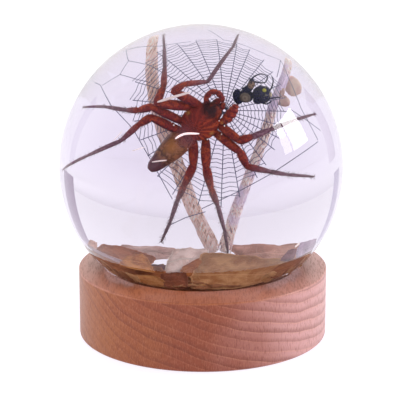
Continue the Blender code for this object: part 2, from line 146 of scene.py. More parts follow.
PALPS = (
    ((0.9, -2.9, 69.4), (0.6, -3.3, 71.6), (1.7, -3.7, 73.3), (3.2, -3.8, 73.3), (4.3, -3.6, 71.9),
     (4.4, -3.2, 70.6)),
    ((3.8, -3.0, 65.4), (5.0, -3.4, 66.2), (6.0, -3.5, 67.3), (6.7, -3.5, 68.4), (7.2, -3.4, 69.3),
     (7.5, -3.3, 70.0)),
)
PALP_WIDTHS = ((0.62, 0.60, 0.62, 0.66, 0.64, 0.42), (0.6, 1.0, 1.15, 1.1, 0.85, 0.45))
PALP_TINT = 0.35
# How a segment of a leg swells between its two joints: share of its length, and share of its width.
SEGMENT_SWELL = ((0.0, 0.78), (0.05, 0.95), (0.18, 1.12), (0.45, 1.18), (0.7, 1.08), (0.9, 0.96), (0.97, 0.8))
# Hairs: length on the legs and on the palps, radius at the root, and how many times fewer a palp has.
LEG_HAIR, PALP_HAIR, HAIR_RADIUS, PALP_THINNING = 0.75, 0.5, 0.04, 3

# The web: hub, and how far its spiral reaches in each direction, in degrees from +X.
WEB_HUB = Vector((4.5, 66.5))
WEB_REACH = ((2.0, 13.8), (38.0, 15.3), (60.0, 17.8), (89.0, 20.0), (111.0, 20.4), (132.0, 22.3),
             (155.0, 21.5), (176.0, 20.0), (208.0, 18.8), (244.0, 21.7), (269.0, 21.0), (300.0, 15.2),
             (328.0, 13.2), (362.0, 13.8))
# How far from the hub the spiral starts, and how much looser it is spun towards one side, in degrees.
WEB_FREE, WEB_LOOSER, WEB_LOOSE_SIDE = 1.6, 0.38, 245.0
# The spokes: how many, how far from the hub they start, and how unevenly they and the turns are set.
WEB_SPOKES, SPOKE_START, SPOKE_JITTER, TURN_JITTER = 27, 0.3, 0.12, 0.1
# How much stouter than the spiral the spokes and guy threads are, and how far a thread sags.
SPOKE_GIRTH, GUY_GIRTH, WEB_SAG = 1.15, 1.05, (0.965, 0.985)
# Guy threads of the web from the net out to the resin's edge, each a run of points in the web's plane.
GUY_THREADS = (
    ((-3.0, 85.5), (-10.5, 84.5), (-21.0, 87.0)),
    ((-16.5, 86.2), (-21.6, 86.2)),
    ((-21.0, 87.0), (-18.2, 80.6), (-19.6, 76.4), (-24.0, 74.0)),
    ((-18.2, 80.6), (-13.5, 78.6)),
    ((-19.6, 76.4), (-15.0, 74.4), (-11.8, 73.4)),
    ((-27.5, 76.0), (-24.6, 74.2), (-20.6, 68.2), (-15.2, 62.6), (-11.0, 55.5), (-6.4, 47.2)),
    ((5.0, 86.5), (1.5, 92.0)),
    ((5.0, 86.5), (7.6, 86.1), (16.0, 82.4), (19.4, 81.6)),
    ((19.4, 81.6), (17.0, 75.4)),
    ((19.4, 81.6), (20.2, 75.2), (22.0, 67.5), (25.4, 60.2)),
    ((19.5, 67.0), (26.5, 62.5)),
    ((-0.4, 45.2), (7.6, 49.0), (14.2, 52.6), (25.4, 59.8)),
    ((-7.4, 41.6), (-3.6, 43.4), (0.4, 44.6)),
)

# Twigs: points down the stem in the plane behind the web, and radii.
TWIG_Y = 4.0
TWIGS = {
    "twig_left": (((-12.9, 88.9), (-12.0, 80.0), (-10.7, 70.5), (-8.5, 62.0), (-5.1, 53.0), (-2.3, 45.5),
                   (2.2, 36.2)), (1.25, 1.3, 1.35, 1.4, 1.42, 1.35, 1.2)),
    "twig_right": (((22.0, 81.9), (18.0, 73.6), (15.4, 68.2), (12.6, 60.0), (9.0, 50.8), (6.2, 43.6),
                    (4.0, 36.2)), (1.0, 0.95, 0.92, 0.95, 0.98, 1.05, 1.1)),
}
TWIG_STEPS, TWIG_SIDES = 14, 20
# Bark of each twig: three tones of its strands from dark to light, and the tone of its patches.
TWIG_TONES = {
    "twig_left": ((0.25, 0.125, 0.082), (0.85, 0.60, 0.50), (1.0, 0.95, 0.93), (0.95, 0.75, 0.73)),
    "twig_right": ((0.26, 0.15, 0.18), (0.97, 0.76, 0.68), (1.0, 0.97, 0.96), (0.70, 0.60, 0.84)),
}
# Loose strands of bark on each twig, and how far they splay at its foot, in twig radii.
STRANDS, STRAND_RADIUS, STRAND_SPLAY = 26, (0.08, 0.24), 0.3

# Leaves of the bed. Each is a blade through four corners, near and far at its stem, then far and near at
# its tip, with how far its middle bows out of their plane.
LEAVES = {
    "leaf_right":
        (((11.2, -4.8, 33.6), (3.0, 8.0, 37.4), (20.2, 8.0, 37.8), (21.0, -5.4, 32.2)), 0.9),
    "leaf_front_right":
        (((-4.4, -26.5, 25.2), (-1.2, -8.0, 38.0), (27.0, -13.0, 33.0), (20.0, -24.5, 25.2)), 0.6),
    "leaf_pale":
        (((-10.4, -17.5, 30.8), (-7.0, -10.0, 38.0), (2.0, -6.0, 37.8), (-1.2, -13.8, 33.2)), 0.9),
    "leaf_left":
        (((-30.9, -6.0, 31.8), (-20.3, 4.0, 38.2), (-8.2, 6.0, 35.2), (-14.7, -5.5, 31.4)), 0.5),
    "leaf_tan":
        (((-24.0, -21.0, 31.6), (-20.0, -17.0, 35.2), (-14.4, -14.0, 36.7), (-12.0, -20.5, 31.2)), 0.5),
    "leaf_front_left":
        (((-30.0, -16.5, 26.4), (-35.0, -11.0, 34.2), (-8.6, -16.5, 33.2), (-9.0, -25.0, 26.0)), 0.5),
    "leaf_dark":
        (((-11.4, -26.0, 25.2), (-11.4, -19.0, 31.4), (-3.8, -17.8, 32.3), (-4.2, -26.5, 25.3)), 0.5),
    "leaf_scrap":
        (((-32.4, -12.5, 35.0), (-29.2, -10.0, 37.9), (-26.0, -9.0, 37.6), (-28.0, -12.5, 35.2)), 0.3),
    "leaf_back_left":
        (((-5.0, 12.0, 30.6), (1.0, 27.0, 31.2), (-29.0, 19.0, 34.0), (-29.0, 6.0, 31.6)), 0.9),
    "leaf_back_right":
        (((2.5, 12.0, 31.2), (3.5, 27.0, 31.0), (31.0, 14.5, 34.2), (27.0, 5.0, 32.0)), 1.2),
}
# Smaller torn leaves that no solid stands for.
TORN_LEAVES = {
    "fold_orange":
        (((-6.0, -18.5, 30.0), (-5.4, -15.0, 33.4), (1.6, -8.6, 37.0), (-0.4, -16.0, 31.8)), 0.5),
    "fold_mauve":
        (((19.4, -15.5, 33.6), (21.0, -12.0, 36.5), (23.6, -11.0, 36.4), (24.0, -15.0, 32.6)), 0.3),
    "wedge_dark":
        (((16.6, -25.2, 25.4), (19.4, -18.2, 32.6), (32.8, -12.5, 33.4), (30.4, -16.5, 27.0)), 0.6),
    "rim_pink":
        (((-16.8, 8.0, 34.8), (-15.5, 11.0, 37.4), (-4.4, 14.0, 36.4), (-6.1, 11.0, 34.6)), 0.3),
    "rim_lilac":
        (((-34.0, -14.2, 34.2), (-33.6, -13.8, 35.6), (-21.0, -19.2, 33.5), (-21.6, -19.6, 32.4)), 0.1),
    "haze_right":
        (((24.2, -14.5, 33.0), (23.0, -9.0, 38.0), (29.6, -8.0, 37.8), (31.8, -12.5, 32.6)), 0.4),
    "gap_mauve":
        (((-13.8, -16.0, 30.8), (-13.2, -13.0, 33.9), (-7.6, -11.0, 33.7), (-8.0, -14.5, 31.2)), 0.3),
    "fold_amber":
        (((-21.5, -23.0, 25.6), (-21.8, -20.6, 28.9), (-12.0, -20.6, 30.5), (-8.0, -26.0, 25.3)), 0.6),
}
# A light and a dark tone for each leaf and litter.
LEAF_TONES = {
    "leaf_right": ((0.64, 0.345, 0.255), (0.46, 0.21, 0.145)),
    "leaf_front_right": ((0.52, 0.26, 0.11), (0.32, 0.12, 0.04)),
    "leaf_pale": ((0.88, 0.66, 0.58), (0.62, 0.40, 0.33)),
    "leaf_left": ((0.42, 0.135, 0.055), (0.26, 0.070, 0.022)),
    "leaf_tan": ((0.58, 0.235, 0.07), (0.31, 0.085, 0.020)),
    "leaf_front_left": ((0.36, 0.115, 0.036), (0.20, 0.055, 0.016)),
    "leaf_dark": ((0.20, 0.055, 0.025), (0.11, 0.028, 0.012)),
    "leaf_scrap": ((0.78, 0.46, 0.38), (0.56, 0.27, 0.20)),
    "leaf_back_left": ((0.44, 0.24, 0.13), (0.30, 0.13, 0.06)),
    "leaf_back_right": ((0.52, 0.32, 0.19), (0.34, 0.17, 0.09)),
    "fold_orange": ((0.44, 0.14, 0.035), (0.27, 0.065, 0.015)),
    "fold_mauve": ((0.28, 0.13, 0.15), (0.15, 0.055, 0.065)),
    "wedge_dark": ((0.30, 0.10, 0.035), (0.17, 0.045, 0.013)),
    "rim_pink": ((0.74, 0.52, 0.44), (0.60, 0.36, 0.30)),
    "rim_lilac": ((0.58, 0.40, 0.44), (0.46, 0.29, 0.31)),
    "haze_right": ((0.66, 0.52, 0.64), (0.58, 0.44, 0.56)),
    "fold_amber": ((0.44, 0.19, 0.065), (0.28, 0.10, 0.028)),
    "gap_mauve": ((0.24, 0.095, 0.10), (0.13, 0.045, 0.05)),
    "litter_brown": ((0.30, 0.12, 0.05), (0.16, 0.055, 0.02)),
    "litter_tan": ((0.50, 0.27, 0.13), (0.33, 0.15, 0.06)),
}
# Cells along and across a whole leaf, a torn one, a flake of litter and a petal, and how thick they are.
LEAF_GRID, TORN_GRID, FLAKE_GRID, PETAL_GRID = (26, 16), (14, 10), (8, 6), (14, 14)
LEAF_THICKNESS, TORN_THICKNESS, FLAKE_THICKNESS, PETAL_THICKNESS = 0.16, 0.14, 0.12, 0.12
# The mound of litter under the leaves: heights at its edge and crown, reach of its foot, width of its
# slope, how big its flakes are, and the turn from each to the next.
LITTER_FLOOR, LITTER_CROWN, LITTER_RADIUS, LITTER_SLOPE = 25.6, 32.0, 29.0, 16.0
FLAKE_SIZE, FLAKE_TURN = (6.0, 10.0), radians(137.5)
# Each litter: name, number of flakes on the mound, and seed.
LITTERS = (("litter_brown", 140, 100), ("litter_tan", 60, 200))
# Ranks of flakes that stand against the globe's wall: height of each, and how far to either side of the
# front it leaves free, in degrees. Then the flakes of a rank, their gap from the wall and their size.
WALL_RANKS = ((26.4, 36.0), (28.6, 56.0), (31.0, 68.0))
WALL_FLAKES, WALL_GAP, WALL_FLAKE_SIZE = 26, 1.1, (4.5, 6.5)
# Flakes are joined this many at a time, which is faster than one by one.
FLAKE_BATCH = 12

# The fly: head, thorax and abdomen with their half sizes, and its legs and stub of a wing.
FLY_LUMPS = (
    ((7.6, -0.9, 71.2), (1.0, 1.3, 1.6)), ((7.9, -1.2, 70.2), (0.9, 1.0, 0.9)),
    ((9.6, -0.9, 71.2), (1.75, 1.5, 1.5)), ((13.3, -0.9, 71.7), (2.2, 1.9, 2.1)),
    ((14.2, -1.2, 73.0), (1.1, 1.3, 0.9)), ((12.2, -1.3, 70.4), (1.0, 1.2, 0.9)),
)
FLY_NECK = ((9.3, -0.9, 72.4, 0.9), (10.5, -1.0, 73.4, 0.85), (11.2, -1.0, 74.8, 0.8),
            (11.1, -0.9, 75.8, 0.45))
FLY_LEGS = (
    ((10.9, -1.2, 75.4), (11.9, -1.0, 76.5), (13.5, -0.8, 77.3), (14.7, -0.8, 77.1), (15.3, -0.7, 76.2)),
    ((12.0, -1.2, 75.2), (13.2, -1.3, 75.0), (14.5, -1.2, 75.2), (15.1, -1.0, 76.3), (15.3, -1.0, 77.2)),
    ((15.2, -1.0, 72.8), (15.9, -0.9, 73.8), (16.5, -0.8, 75.7), (16.3, -0.8, 76.8)),
    ((14.9, -1.3, 70.8), (16.0, -1.2, 71.1), (17.9, -1.0, 71.4)),
    ((13.0, -1.6, 70.0), (14.4, -1.7, 69.7), (15.6, -1.6, 70.4)),
)
FLY_CREAM = (((13.3, -1.9, 74.2), (0.35, 0.3, 0.5)), ((15.5, -1.1, 71.9), (0.3, 0.5, 0.6)))
# Where its dusty patch, its brown neck and its yellow fleck lie.
FLY_DUST, FLY_BROWN, FLY_FLECK = (9.5, -2.2, 71.2), (11.2, -1.6, 74.4), (14.2, -2.3, 73.6)

# Dried petals by the right twig, as blades through four corners like the leaves.
PETALS = (
    (((18.0, 3.4, 69.4), (18.2, 4.6, 75.2), (22.4, 5.0, 74.6), (22.6, 4.0, 70.2)), 0.7),
    (((15.8, 3.4, 67.2), (15.4, 4.2, 69.4), (18.4, 4.4, 69.8), (19.2, 3.6, 67.0)), 0.5),
    (((16.4, 3.2, 69.4), (16.7, 3.8, 71.6), (18.1, 3.6, 72.6), (18.1, 3.0, 70.0)), 0.4),
)

# Air film that parted from the resin over the spider's rear, in the body's own axes. Then painted highlights,
# glowing slivers where the film and other surfaces would catch the window: points, width and shine of each,
# and the way they all face.
FILM_PLACE, FILM_HALF = (-3.6, 0.3, 1.6), (4.6, 3.7, 1.7)
GLINTS = (
    (((-6.4, -6.8, 62.8), (-5.3, -6.9, 63.6), (-3.7, -6.9, 64.1), (-0.9, -6.7, 64.0)), 0.5, 0.75),
    (((-11.6, -6.2, 57.2), (-9.7, -6.3, 57.5), (-8.2, -6.2, 57.6)), 0.30, 0.25),
    (((-10.9, -6.8, 72.0), (-7.2, -7.0, 73.3), (-3.1, -6.8, 74.5)), 0.62, 0.12),
    (((-16.7, -9.0, 60.6), (-13.7, -9.0, 61.5)), 0.20, 0.4),
    (((-21.6, -9.0, 63.2), (-19.5, -9.0, 65.5)), 0.18, 0.3),
    (((23.2, -13.0, 36.9), (24.3, -12.0, 37.8)), 0.6, 0.2),
)
GLINT_FACING, GLINT_THICKNESS = Vector((0.62, -0.68, 0.40)), 0.04
# Painted highlights: tiny glowing balls between the legs, in a plane in front of the web, how big they are
# and their shine.
GLINT_DOTS = ((3.6, 66.6), (4.1, 63.4), (-7.2, 66.2), (-6.7, 65.6), (-0.7, 60.2), (-3.5, 60.0), (4.8, 65.4),
           (0.9, 62.2), (-4.0, 68.9))
GLINT_DOT_Y, GLINT_DOT_RADIUS, GLINT_DOT_SHINE = -5.2, (0.08, 0.19), 0.15

# What the camera looks at.
CAMERA_TARGET = Vector((-0.85, 0.0, 43.55))

# Brightness of the backdrop behind the object, how much brighter it is higher up, and of the room on the
# front side, above and at the horizon.
BACKDROP_LIGHT, HIGH_LIGHT, FRONT_LIGHT, HORIZON_LIGHT = 1.15, 0.07, 0.20, 0.85

# The floor: radius in metres, its grey and how strongly it glows. Then the glow's colour by the object,
# dimmer there as a painted shadow, and far from it, and how far away the one passes into the other.
FLOOR_RADIUS, FLOOR_GREY, FLOOR_GLOW = 4.0, 0.36, 0.84
FLOOR_NEAR, FLOOR_FAR, FLOOR_FADE = (0.86, 0.83, 0.92), (0.94, 0.93, 0.96), (100.0, 500.0)

# Grey cards on the floor behind the object: bearing from +Y towards +X, width and colour. Metres.
CARDS = ((radians(53.5), 0.125, (0.36, 0.29, 0.37)), (radians(-58.0), 0.085, (0.48, 0.44, 0.56)))
CARD_DISTANCE, CARD_HEIGHT = 0.5, 0.26

# The window on the right, seen from the globe: bearing from +Y towards +X and width of its columns, angle
# above the horizon and height of its rows, and each pane's brightness in the globe, by row and column.
# Its distance is in metres.
WINDOW_COLUMNS = ((radians(104.8), radians(8.2)), (radians(90.0), radians(19.0)))
WINDOW_ROWS = ((radians(16.9), radians(10.2)), (radians(27.2), radians(10.2)))
WINDOW_RADIANCE = ((4.0, 5.5), (8.0, 14.0))
WINDOW_DISTANCE = 1.1
# Soft lamps that show in no surface: place and size in metres, power in watts, and what they are aimed at.
LAMP_AIM = (0.0, 0.0, 0.055)
LAMPS = {
    "window_glow": ((1.0, 0.13, 0.5), (0.6, 0.5), 4.6, LAMP_AIM),
    "left_light": ((-1.0, -0.5, 0.5), (0.6, 0.6), 2.0, LAMP_AIM),
    "front_fill": ((-0.35, -1.1, 0.9), (1.2, 1.2), 10.0, LAMP_AIM),
    "top_light": ((0.1, 0.1, 1.3), (0.9, 0.9), 4.0, LAMP_AIM),
    "base_glow": ((0.50, -0.12, 0.03), (0.25, 0.06), 0.7, (0.03, -0.01, 0.012)),
    "focused_light": ((-0.085, -0.035, 0.085), (0.012, 0.012), 0.010, (-0.036, -0.006, 0.022)),
}


# ---- Shader arithmetic ----
class Value:
    """One output of a material's nodes, which plain arithmetic works on."""

    def __init__(self, paint, socket):
        self.paint = paint
        self.socket = socket

    def math(self, operation, *others, swap=False):
        terms = (others[0], self) if swap else (self, *others)
        return self.paint.node("ShaderNodeMath", {"operation": operation}, dict(enumerate(terms)))

    def __add__(self, other):
        return self.math("ADD", other)

    __radd__ = __add__

    def __mul__(self, other):
        return self.math("MULTIPLY", other)

    def __sub__(self, other):
        return self.math("SUBTRACT", other)

    def __rsub__(self, other):
        return self.math("SUBTRACT", other, swap=True)

    def __truediv__(self, other):
        return self.math("DIVIDE", other)

    def __pow__(self, other):
        return self.math("POWER", other)

    def __abs__(self):
        return self.math("ABSOLUTE")

    def sine(self):
        return self.math("SINE")

    def wrapped(self):
        return self.math("FRACT")

    def rise(self, low, high):
        """0 below low, 1 above high and smooth between them."""
        return self.paint.node("ShaderNodeMapRange", {"interpolation_type": "SMOOTHSTEP", "clamp": True},
                               {"Value": self, "From Min": low, "From Max": high})


class Nodes:
    """A node tree, and short ways to fill it."""

    def __init__(self, tree):
        self.tree = tree

    def node(self, kind, settings, sockets, output=0):
        """Any node: its settings first, then the values or links of its sockets."""
        made = self.tree.nodes.new(kind)
        for name, value in settings.items():
            if name == "stops":
                self.set_stops(made.color_ramp, value)
            else:
                setattr(made, name, value)
        for name, value in sockets.items():
            if isinstance(value, Value):
                self.tree.links.new(value.socket, made.inputs[name])
            else:
                made.inputs[name].default_value = value
        return Value(self, made.outputs[output])

    @staticmethod
    def set_stops(ramp, stops):
        while len(ramp.elements) < len(stops):
            ramp.elements.new(1.0)
        for element, (place, colour) in zip(ramp.elements, stops):
            element.position = place
            element.color = (*colour, 1.0)

    def place(self, stretch=(1.0, 1.0, 1.0), turn=(0.0, 0.0, 0.0)):
        """Object coordinates in millimetres, turned and then stretched."""
        where = self.node("ShaderNodeTexCoord", {}, {}, "Object")
        turned = self.node("ShaderNodeMapping", {}, {"Vector": where, "Rotation": turn})
        scale = tuple(part / MM for part in stretch)
        return self.node("ShaderNodeVectorMath", {"operation": "MULTIPLY"}, {0: turned, 1: scale})

    def axis(self, where, name):
        return self.node("ShaderNodeSeparateXYZ", {}, {"Vector": where}, name)

    def distance(self, where, point):
        return self.node("ShaderNodeVectorMath", {"operation": "DISTANCE"}, {0: where, 1: point}, "Value")

    def noise(self, where, scale, detail=3.0, roughness=0.55, distortion=0.0):
        return self.node("ShaderNodeTexNoise", {}, {
            "Vector": where, "Scale": scale, "Detail": detail, "Roughness": roughness,
            "Distortion": distortion}, "Fac")

    def attribute(self, name):
        return self.node("ShaderNodeAttribute", {"attribute_name": name}, {}, "Fac")

    def ramp(self, factor, *stops):
        return self.node("ShaderNodeValToRGB", {"stops": stops}, {"Fac": factor}, "Color")

    def mix(self, factor, low, high):
        """From the low colour to the high one as factor goes from 0 to 1."""
        colours = [part if isinstance(part, Value) else (*part, 1.0) for part in (low, high)]
        return self.node("ShaderNodeMix", {"data_type": "RGBA"},
                         {"Factor": factor, 6: colours[0], 7: colours[1]}, 2)


class Paint(Nodes):
    """A material with one Principled shader, and short ways to drive it."""

    def __init__(self, name, **constants):
        self.material = bpy.data.materials.new(name)
        self.material.use_nodes = True
        super().__init__(self.material.node_tree)
        self.shader = self.tree.nodes["Principled BSDF"]
        for socket, value in constants.items():
            self.shader.inputs[socket.replace("_", " ")].default_value = value

    def feed(self, socket, value):
        self.tree.links.new(value.socket, self.shader.inputs[socket])

    def bump(self, height, depth):
        """Raise the surface by height times depth, in millimetres."""
        self.feed("Normal", self.node("ShaderNodeBump", {}, {
            "Height": height, "Strength": 1.0, "Distance": depth * MM}))


# ---- Mesh helpers ----
def make_object(bm, name, paint):
    """Turn a bmesh into an object of the scene."""
    mesh = bpy.data.meshes.new(name)
    bm.to_mesh(mesh)
    bm.free()
    mesh.materials.append(paint.material)
    made = bpy.data.objects.new(name, mesh)
    bpy.context.scene.collection.objects.link(made)
    return made


def add_piece(bm, name, paint, replaced=(), sharp=None):
    """Turn a millimetre bmesh into a finished piece on the root body."""
    bmesh.ops.scale(bm, vec=(MM, MM, MM), verts=bm.verts)
    piece = make_object(bm, name, paint)
    piece.data.shade_smooth()
    if sharp is not None:
        piece.data.set_sharp_from_angle(angle=radians(sharp))
    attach(piece, "root")
    if replaced:
        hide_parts(*replaced)
    return piece


def turned(outline, steps, centre=Vector((0.0, 0.0, 0.0))):
    """A closed solid turned about Z from an outline of radius and height that starts and ends on the axis."""
    bm = bmesh.new()
    verts = [bm.verts.new((radius, 0.0, height)) for radius, height in outline]
    edges = [bm.edges.new(pair) for pair in zip(verts, verts[1:])]
    bmesh.ops.spin(bm, geom=verts + edges, axis=(0.0, 0.0, 1.0), cent=(0.0, 0.0, 0.0), angle=2.0 * pi,
                   steps=steps, use_merge=True)
    bmesh.ops.remove_doubles(bm, verts=bm.verts, dist=1e-4)
    bmesh.ops.recalc_face_normals(bm, faces=bm.faces)
    bmesh.ops.translate(bm, vec=(centre.x, centre.y, 0.0), verts=bm.verts)
    return bm


def smooth_run(points, steps):
    """Points of a smooth curve through the given ones, with any number of values in each."""
    points = [Vector(point) for point in points]
    ends = [points[0] * 2.0 - points[1], *points, points[-1] * 2.0 - points[-2]]
    run = []
    for before, here, there, after in zip(ends, ends[1:], ends[2:], ends[3:]):
        for step in range(steps):
            t = step / steps
            run.append(0.5 * (2.0 * here + (there - before) * t
                              + (2.0 * before - 5.0 * here + 4.0 * there - after) * t * t
                              + (3.0 * here - before - 3.0 * there + after) * t ** 3))
    run.append(points[-1])
    return run


def ring_frames(stations):
    """For each station (x, y, z, radius) the matrix that lays a unit circle across the path there."""
    places = [station.to_3d() for station in stations]
    side = (places[1] - places[0]).orthogonal()
    frames = []
    for number, place in enumerate(places):
        ahead = (places[min(number + 1, len(places) - 1)] - places[max(number - 1, 0)]).normalized()
        side = (side - ahead * side.dot(ahead)).normalized()
        turn = Matrix((side, ahead.cross(side), ahead)).transposed().to_4x4()
        radius = stations[number][3]
        frames.append(Matrix.Translation(place) @ turn @ Matrix.Diagonal((radius, radius, 1.0, 1.0)))
    return frames


def sweep(bm, stations, sides):
    """A tube with closed ends through stations of place and radius. Returns its rings of vertices."""
    frames = ring_frames(stations)
    ring = bmesh.ops.create_circle(bm, cap_ends=True, segments=sides, radius=1.0, matrix=frames[0])["verts"]
    edges = list({edge for vert in ring for edge in vert.link_edges})
    rings = [ring]
    for here, there in zip(frames, frames[1:]):
        grown = bmesh.ops.extrude_edge_only(bm, edges=edges)["geom"]
        ring = [part for part in grown if isinstance(part, bmesh.types.BMVert)]
        fresh = set(ring)
        edges = [part for part in grown
                 if isinstance(part, bmesh.types.BMEdge) and fresh.issuperset(part.verts)]
        bmesh.ops.transform(bm, matrix=there @ here.inverted(), verts=ring)
        rings.append(ring)
    bmesh.ops.contextual_create(bm, geom=edges)
    return rings


def add_rod(bm, start, end, radius, sides=4):
    """A straight thread from start to end."""
    run = end - start
    place = Matrix.Translation((start + end) / 2.0) @ run.to_track_quat("Z", "Y").to_matrix().to_4x4()
    bmesh.ops.create_cone(bm, cap_ends=True, segments=sides, radius1=radius, radius2=radius,
                          depth=run.length, matrix=place)


def add_hair(bm, root, direction, length, radius):
    """A short stiff hair that narrows to a point."""
    place = (Matrix.Translation(root + direction * length / 2.0)
             @ direction.to_track_quat("Z", "Y").to_matrix().to_4x4())
    return bmesh.ops.create_cone(bm, cap_ends=True, segments=3, radius1=radius, radius2=radius * 0.1,
                                 depth=length, matrix=place)["verts"]


def add_ball(bm, matrix, half_sizes, segments=24, rings=16):
    """An ellipsoid of the given half sizes in the given frame."""
    return bmesh.ops.create_uvsphere(bm, u_segments=segments, v_segments=rings, radius=1.0,
                                     matrix=matrix @ Matrix.Diagonal((*half_sizes, 1.0)))["verts"]


def unevenness(place, size):
    """A smooth bump field from -1 to 1 with lumps of about the given size."""
    return noise.noise(place / size)


# ---- Materials ----
def resin_paint(settings):
    """Clear polished resin with a faint lilac cast that deepens with the way through it."""
    paint = Paint("clear_resin", Base_Color=(1.0, 1.0, 1.0, 1.0), Roughness=0.0, IOR=settings.ior,
                  Transmission_Weight=1.0)
    cast = paint.node("ShaderNodeVolumeAbsorption", {}, {
        "Color": (*settings.cast, 1.0), "Density": settings.cast_density})
    paint.tree.links.new(cast.socket, paint.tree.nodes["Material Output"].inputs["Volume"])
    return paint


def wood_paint(settings):
    """Beech: growth rings that dip from left to right, short dark rays and a satin lacquer."""
    paint = Paint("beech", Specular_IOR_Level=0.25, Coat_Roughness=0.32)
    where = paint.place()
    across = paint.axis(where, "X")
    wander = (paint.noise(where, 0.03, 2.0) - 0.5) * 7.0 + (paint.noise(where, 0.16, 1.0) - 0.5) * 0.7
    curl = (across + 12.0).math("MINIMUM", 0.0)
    depth = paint.axis(where, "Z") + across * 0.30 - curl * curl * 0.012 - paint.axis(where, "Y") * 0.067
    years = (depth + wander) / settings.ring_spacing
    year = years.wrapped()
    strong = paint.node("ShaderNodeTexWhiteNoise", {"noise_dimensions": "1D"}, {"W": years.math("FLOOR")},
                        "Value")
    on_top = paint.axis(where, "Z").rise(SEAT_HEIGHT - 1.6, SEAT_HEIGHT - 1.0)
    late = (1.0 - year.rise(0.04, 0.62)) * (0.35 + strong * 0.65) * (1.0 - on_top * 0.85)
    early = year.rise(0.78, 0.97) * (0.4 + strong * 0.6) * (1.0 - on_top * 0.85)
    side_rays = paint.noise(paint.place((3.0, 3.0, 0.55)), 1.0, 2.0, 0.6).rise(0.50, 0.68)
    top_rays = paint.noise(paint.place((2.4, 0.30, 1.0)), 1.0, 2.0, 0.6).rise(0.48, 0.62)
    rays = side_rays * (1.0 - on_top) + top_rays * on_top
    flecks = paint.noise(paint.place((4.2, 1.2, 1.0)), 1.0, 2.0, 0.6).rise(0.46, 0.70)
    patch = paint.noise(where, 0.045, 2.0)
    # Painted sheen: the block turns rosy and paler towards +X, partly its own pink and partly the window
    # light's sheen on that side.
    rosy_sheen = (across + (patch - 0.5) * 26.0).rise(0.0, 40.0)
    tawny = 1.0 - (across + (patch - 0.5) * 30.0).rise(-36.0, -8.0)
    wood = paint.mix(tawny, settings.heart, settings.tawny)
    wood = paint.mix(rosy_sheen, wood, settings.rosy_sheen)
    wood = paint.mix(late * 0.55, wood, settings.dark)
    wood = paint.mix(early * (0.07 + across.rise(-20.0, 25.0) * 0.17), wood, settings.pale)
    wood = paint.mix(on_top * 0.50, wood, settings.top)
    # Painted reflection: the top face turns rosy towards both ends, where the lacquer would reflect the
    # bright backdrop.
    wood = paint.mix(on_top * abs(across).rise(14.0, 40.0) * 0.40, wood, settings.rosy_sheen)
    wood = paint.mix(rays * 0.40, wood, settings.dark)
    wood = paint.mix(flecks * 0.16, wood, settings.pale)
    paint.feed("Base Color", wood)
    paint.feed("Roughness", 0.40 + rays * 0.12)
    paint.feed("Coat Weight", 0.2 + on_top * 0.2)
    paint.bump(flecks * 0.3 - rays * 0.6, 0.04)
    return paint


def spider_paint(settings):
    """Preserved chitin under short hair: glassy red-brown near the body, dull purple at the toes."""
    paint = Paint("spider_chitin", Specular_IOR_Level=0.14)
    where = paint.place()
    mottle = paint.noise(where, 0.8, 4.0, 0.72, 0.6)
    grain = paint.noise(where, 2.4, 3.0, 0.7)
    # Painted light and shade: upper faces glow orange more often, and faces turned downwards darken to the
    # purple underside colour.
    under = paint.attribute("under")
    lit = (mottle + (0.5 - under) * 0.16).rise(0.46, 0.64)
    red = paint.mix(lit * 0.65, settings.body, settings.glow)
    red = paint.mix(grain.rise(0.50, 0.66) * 0.7, red, settings.shade)
    red = paint.mix((under + (grain - 0.5) * 0.8).rise(0.55, 0.95) * 0.75, red, settings.underside)
    toes = paint.mix(grain.rise(0.4, 0.7), settings.toe, settings.toe_light)
    colour = paint.mix((paint.attribute("toward_toe") + mottle * 0.2).rise(0.50, 0.72), red, toes)
    ahead, left = body_axes(paint, where)
    onto_back = 1.0 - paint.distance(where, tuple(BODY_CENTRE)).rise(4.2, 5.4)
    from_pit = left.math("ARCTAN2", ahead - FOVEA.x)
    streaks = ((from_pit * 17.0 + mottle * 9.0).sine() * 0.5 + 0.5).rise(0.5, 0.95)
    back = paint.mix((mottle + grain * 0.5).rise(0.64, 0.88) * 0.75, settings.back, settings.shade)
    back = paint.mix(left.rise(-0.6, 2.4) * 0.6, back, settings.body)
    back = paint.mix((1.0 - streaks) * 0.35, back, settings.shade)
    colour = paint.mix(onto_back * 0.9, colour, back)
    # Painted light: the streaks glow orange, most on the carapace's lower right, as if lit there.
    glowing = streaks * onto_back * (0.08 + (0.0 - left).rise(-1.0, 2.2) * 0.6)
    colour = paint.mix(glowing, colour, settings.glow)
    head = BODY_CENTRE + body_turn() @ (Vector(HEAD_PLACE) + Vector(HEAD_PATCH))
    near_head = 1.0 - (paint.distance(where, tuple(head)) + (mottle - 0.5) * 2.6).rise(1.7, 2.8)
    colour = paint.mix(near_head * 0.97, colour, settings.shade)
    for hip in HIP_SPOTS:
        spot = 1.0 - (paint.distance(where, hip) + (grain - 0.5) * 1.6).rise(0.1, 0.9)
        colour = paint.mix(spot * 0.6, colour, settings.hip)
    tail = paint.attribute("tail")
    cloud = paint.noise(where, 0.55, 4.0, 0.68, 0.8)
    ochre = paint.mix(cloud.rise(0.46, 0.60), settings.tail_dark, settings.tail)
    warm = 1.0 - (paint.distance(where, TAIL_WARM) + (cloud - 0.5) * 5.0).rise(0.0, 3.0)
    ochre = paint.mix(warm * 0.6, ochre, settings.tail_warm)
    ridge = (0.0 - left).rise(1.5, 2.6)
    ochre = paint.mix(ridge * 0.75, ochre, settings.tail_ridge)
    ochre = paint.mix(left.rise(2.0, 2.9) * 0.4, ochre, settings.tail_end)
    ochre = paint.mix(((0.0 - ahead) + cloud * 2.0).rise(11.8, 15.0) * 0.9, ochre, settings.tail_end)
    colour = paint.mix(tail, colour, ochre)
    paint.feed("Base Color", colour)
    paint.feed("Roughness", 0.36 - tail * 0.2)
    paint.feed("Coat Weight", tail * 0.3)
    paint.bump((grain + mottle * 0.5) * (1.0 - tail * 0.9), 0.22)
    return paint


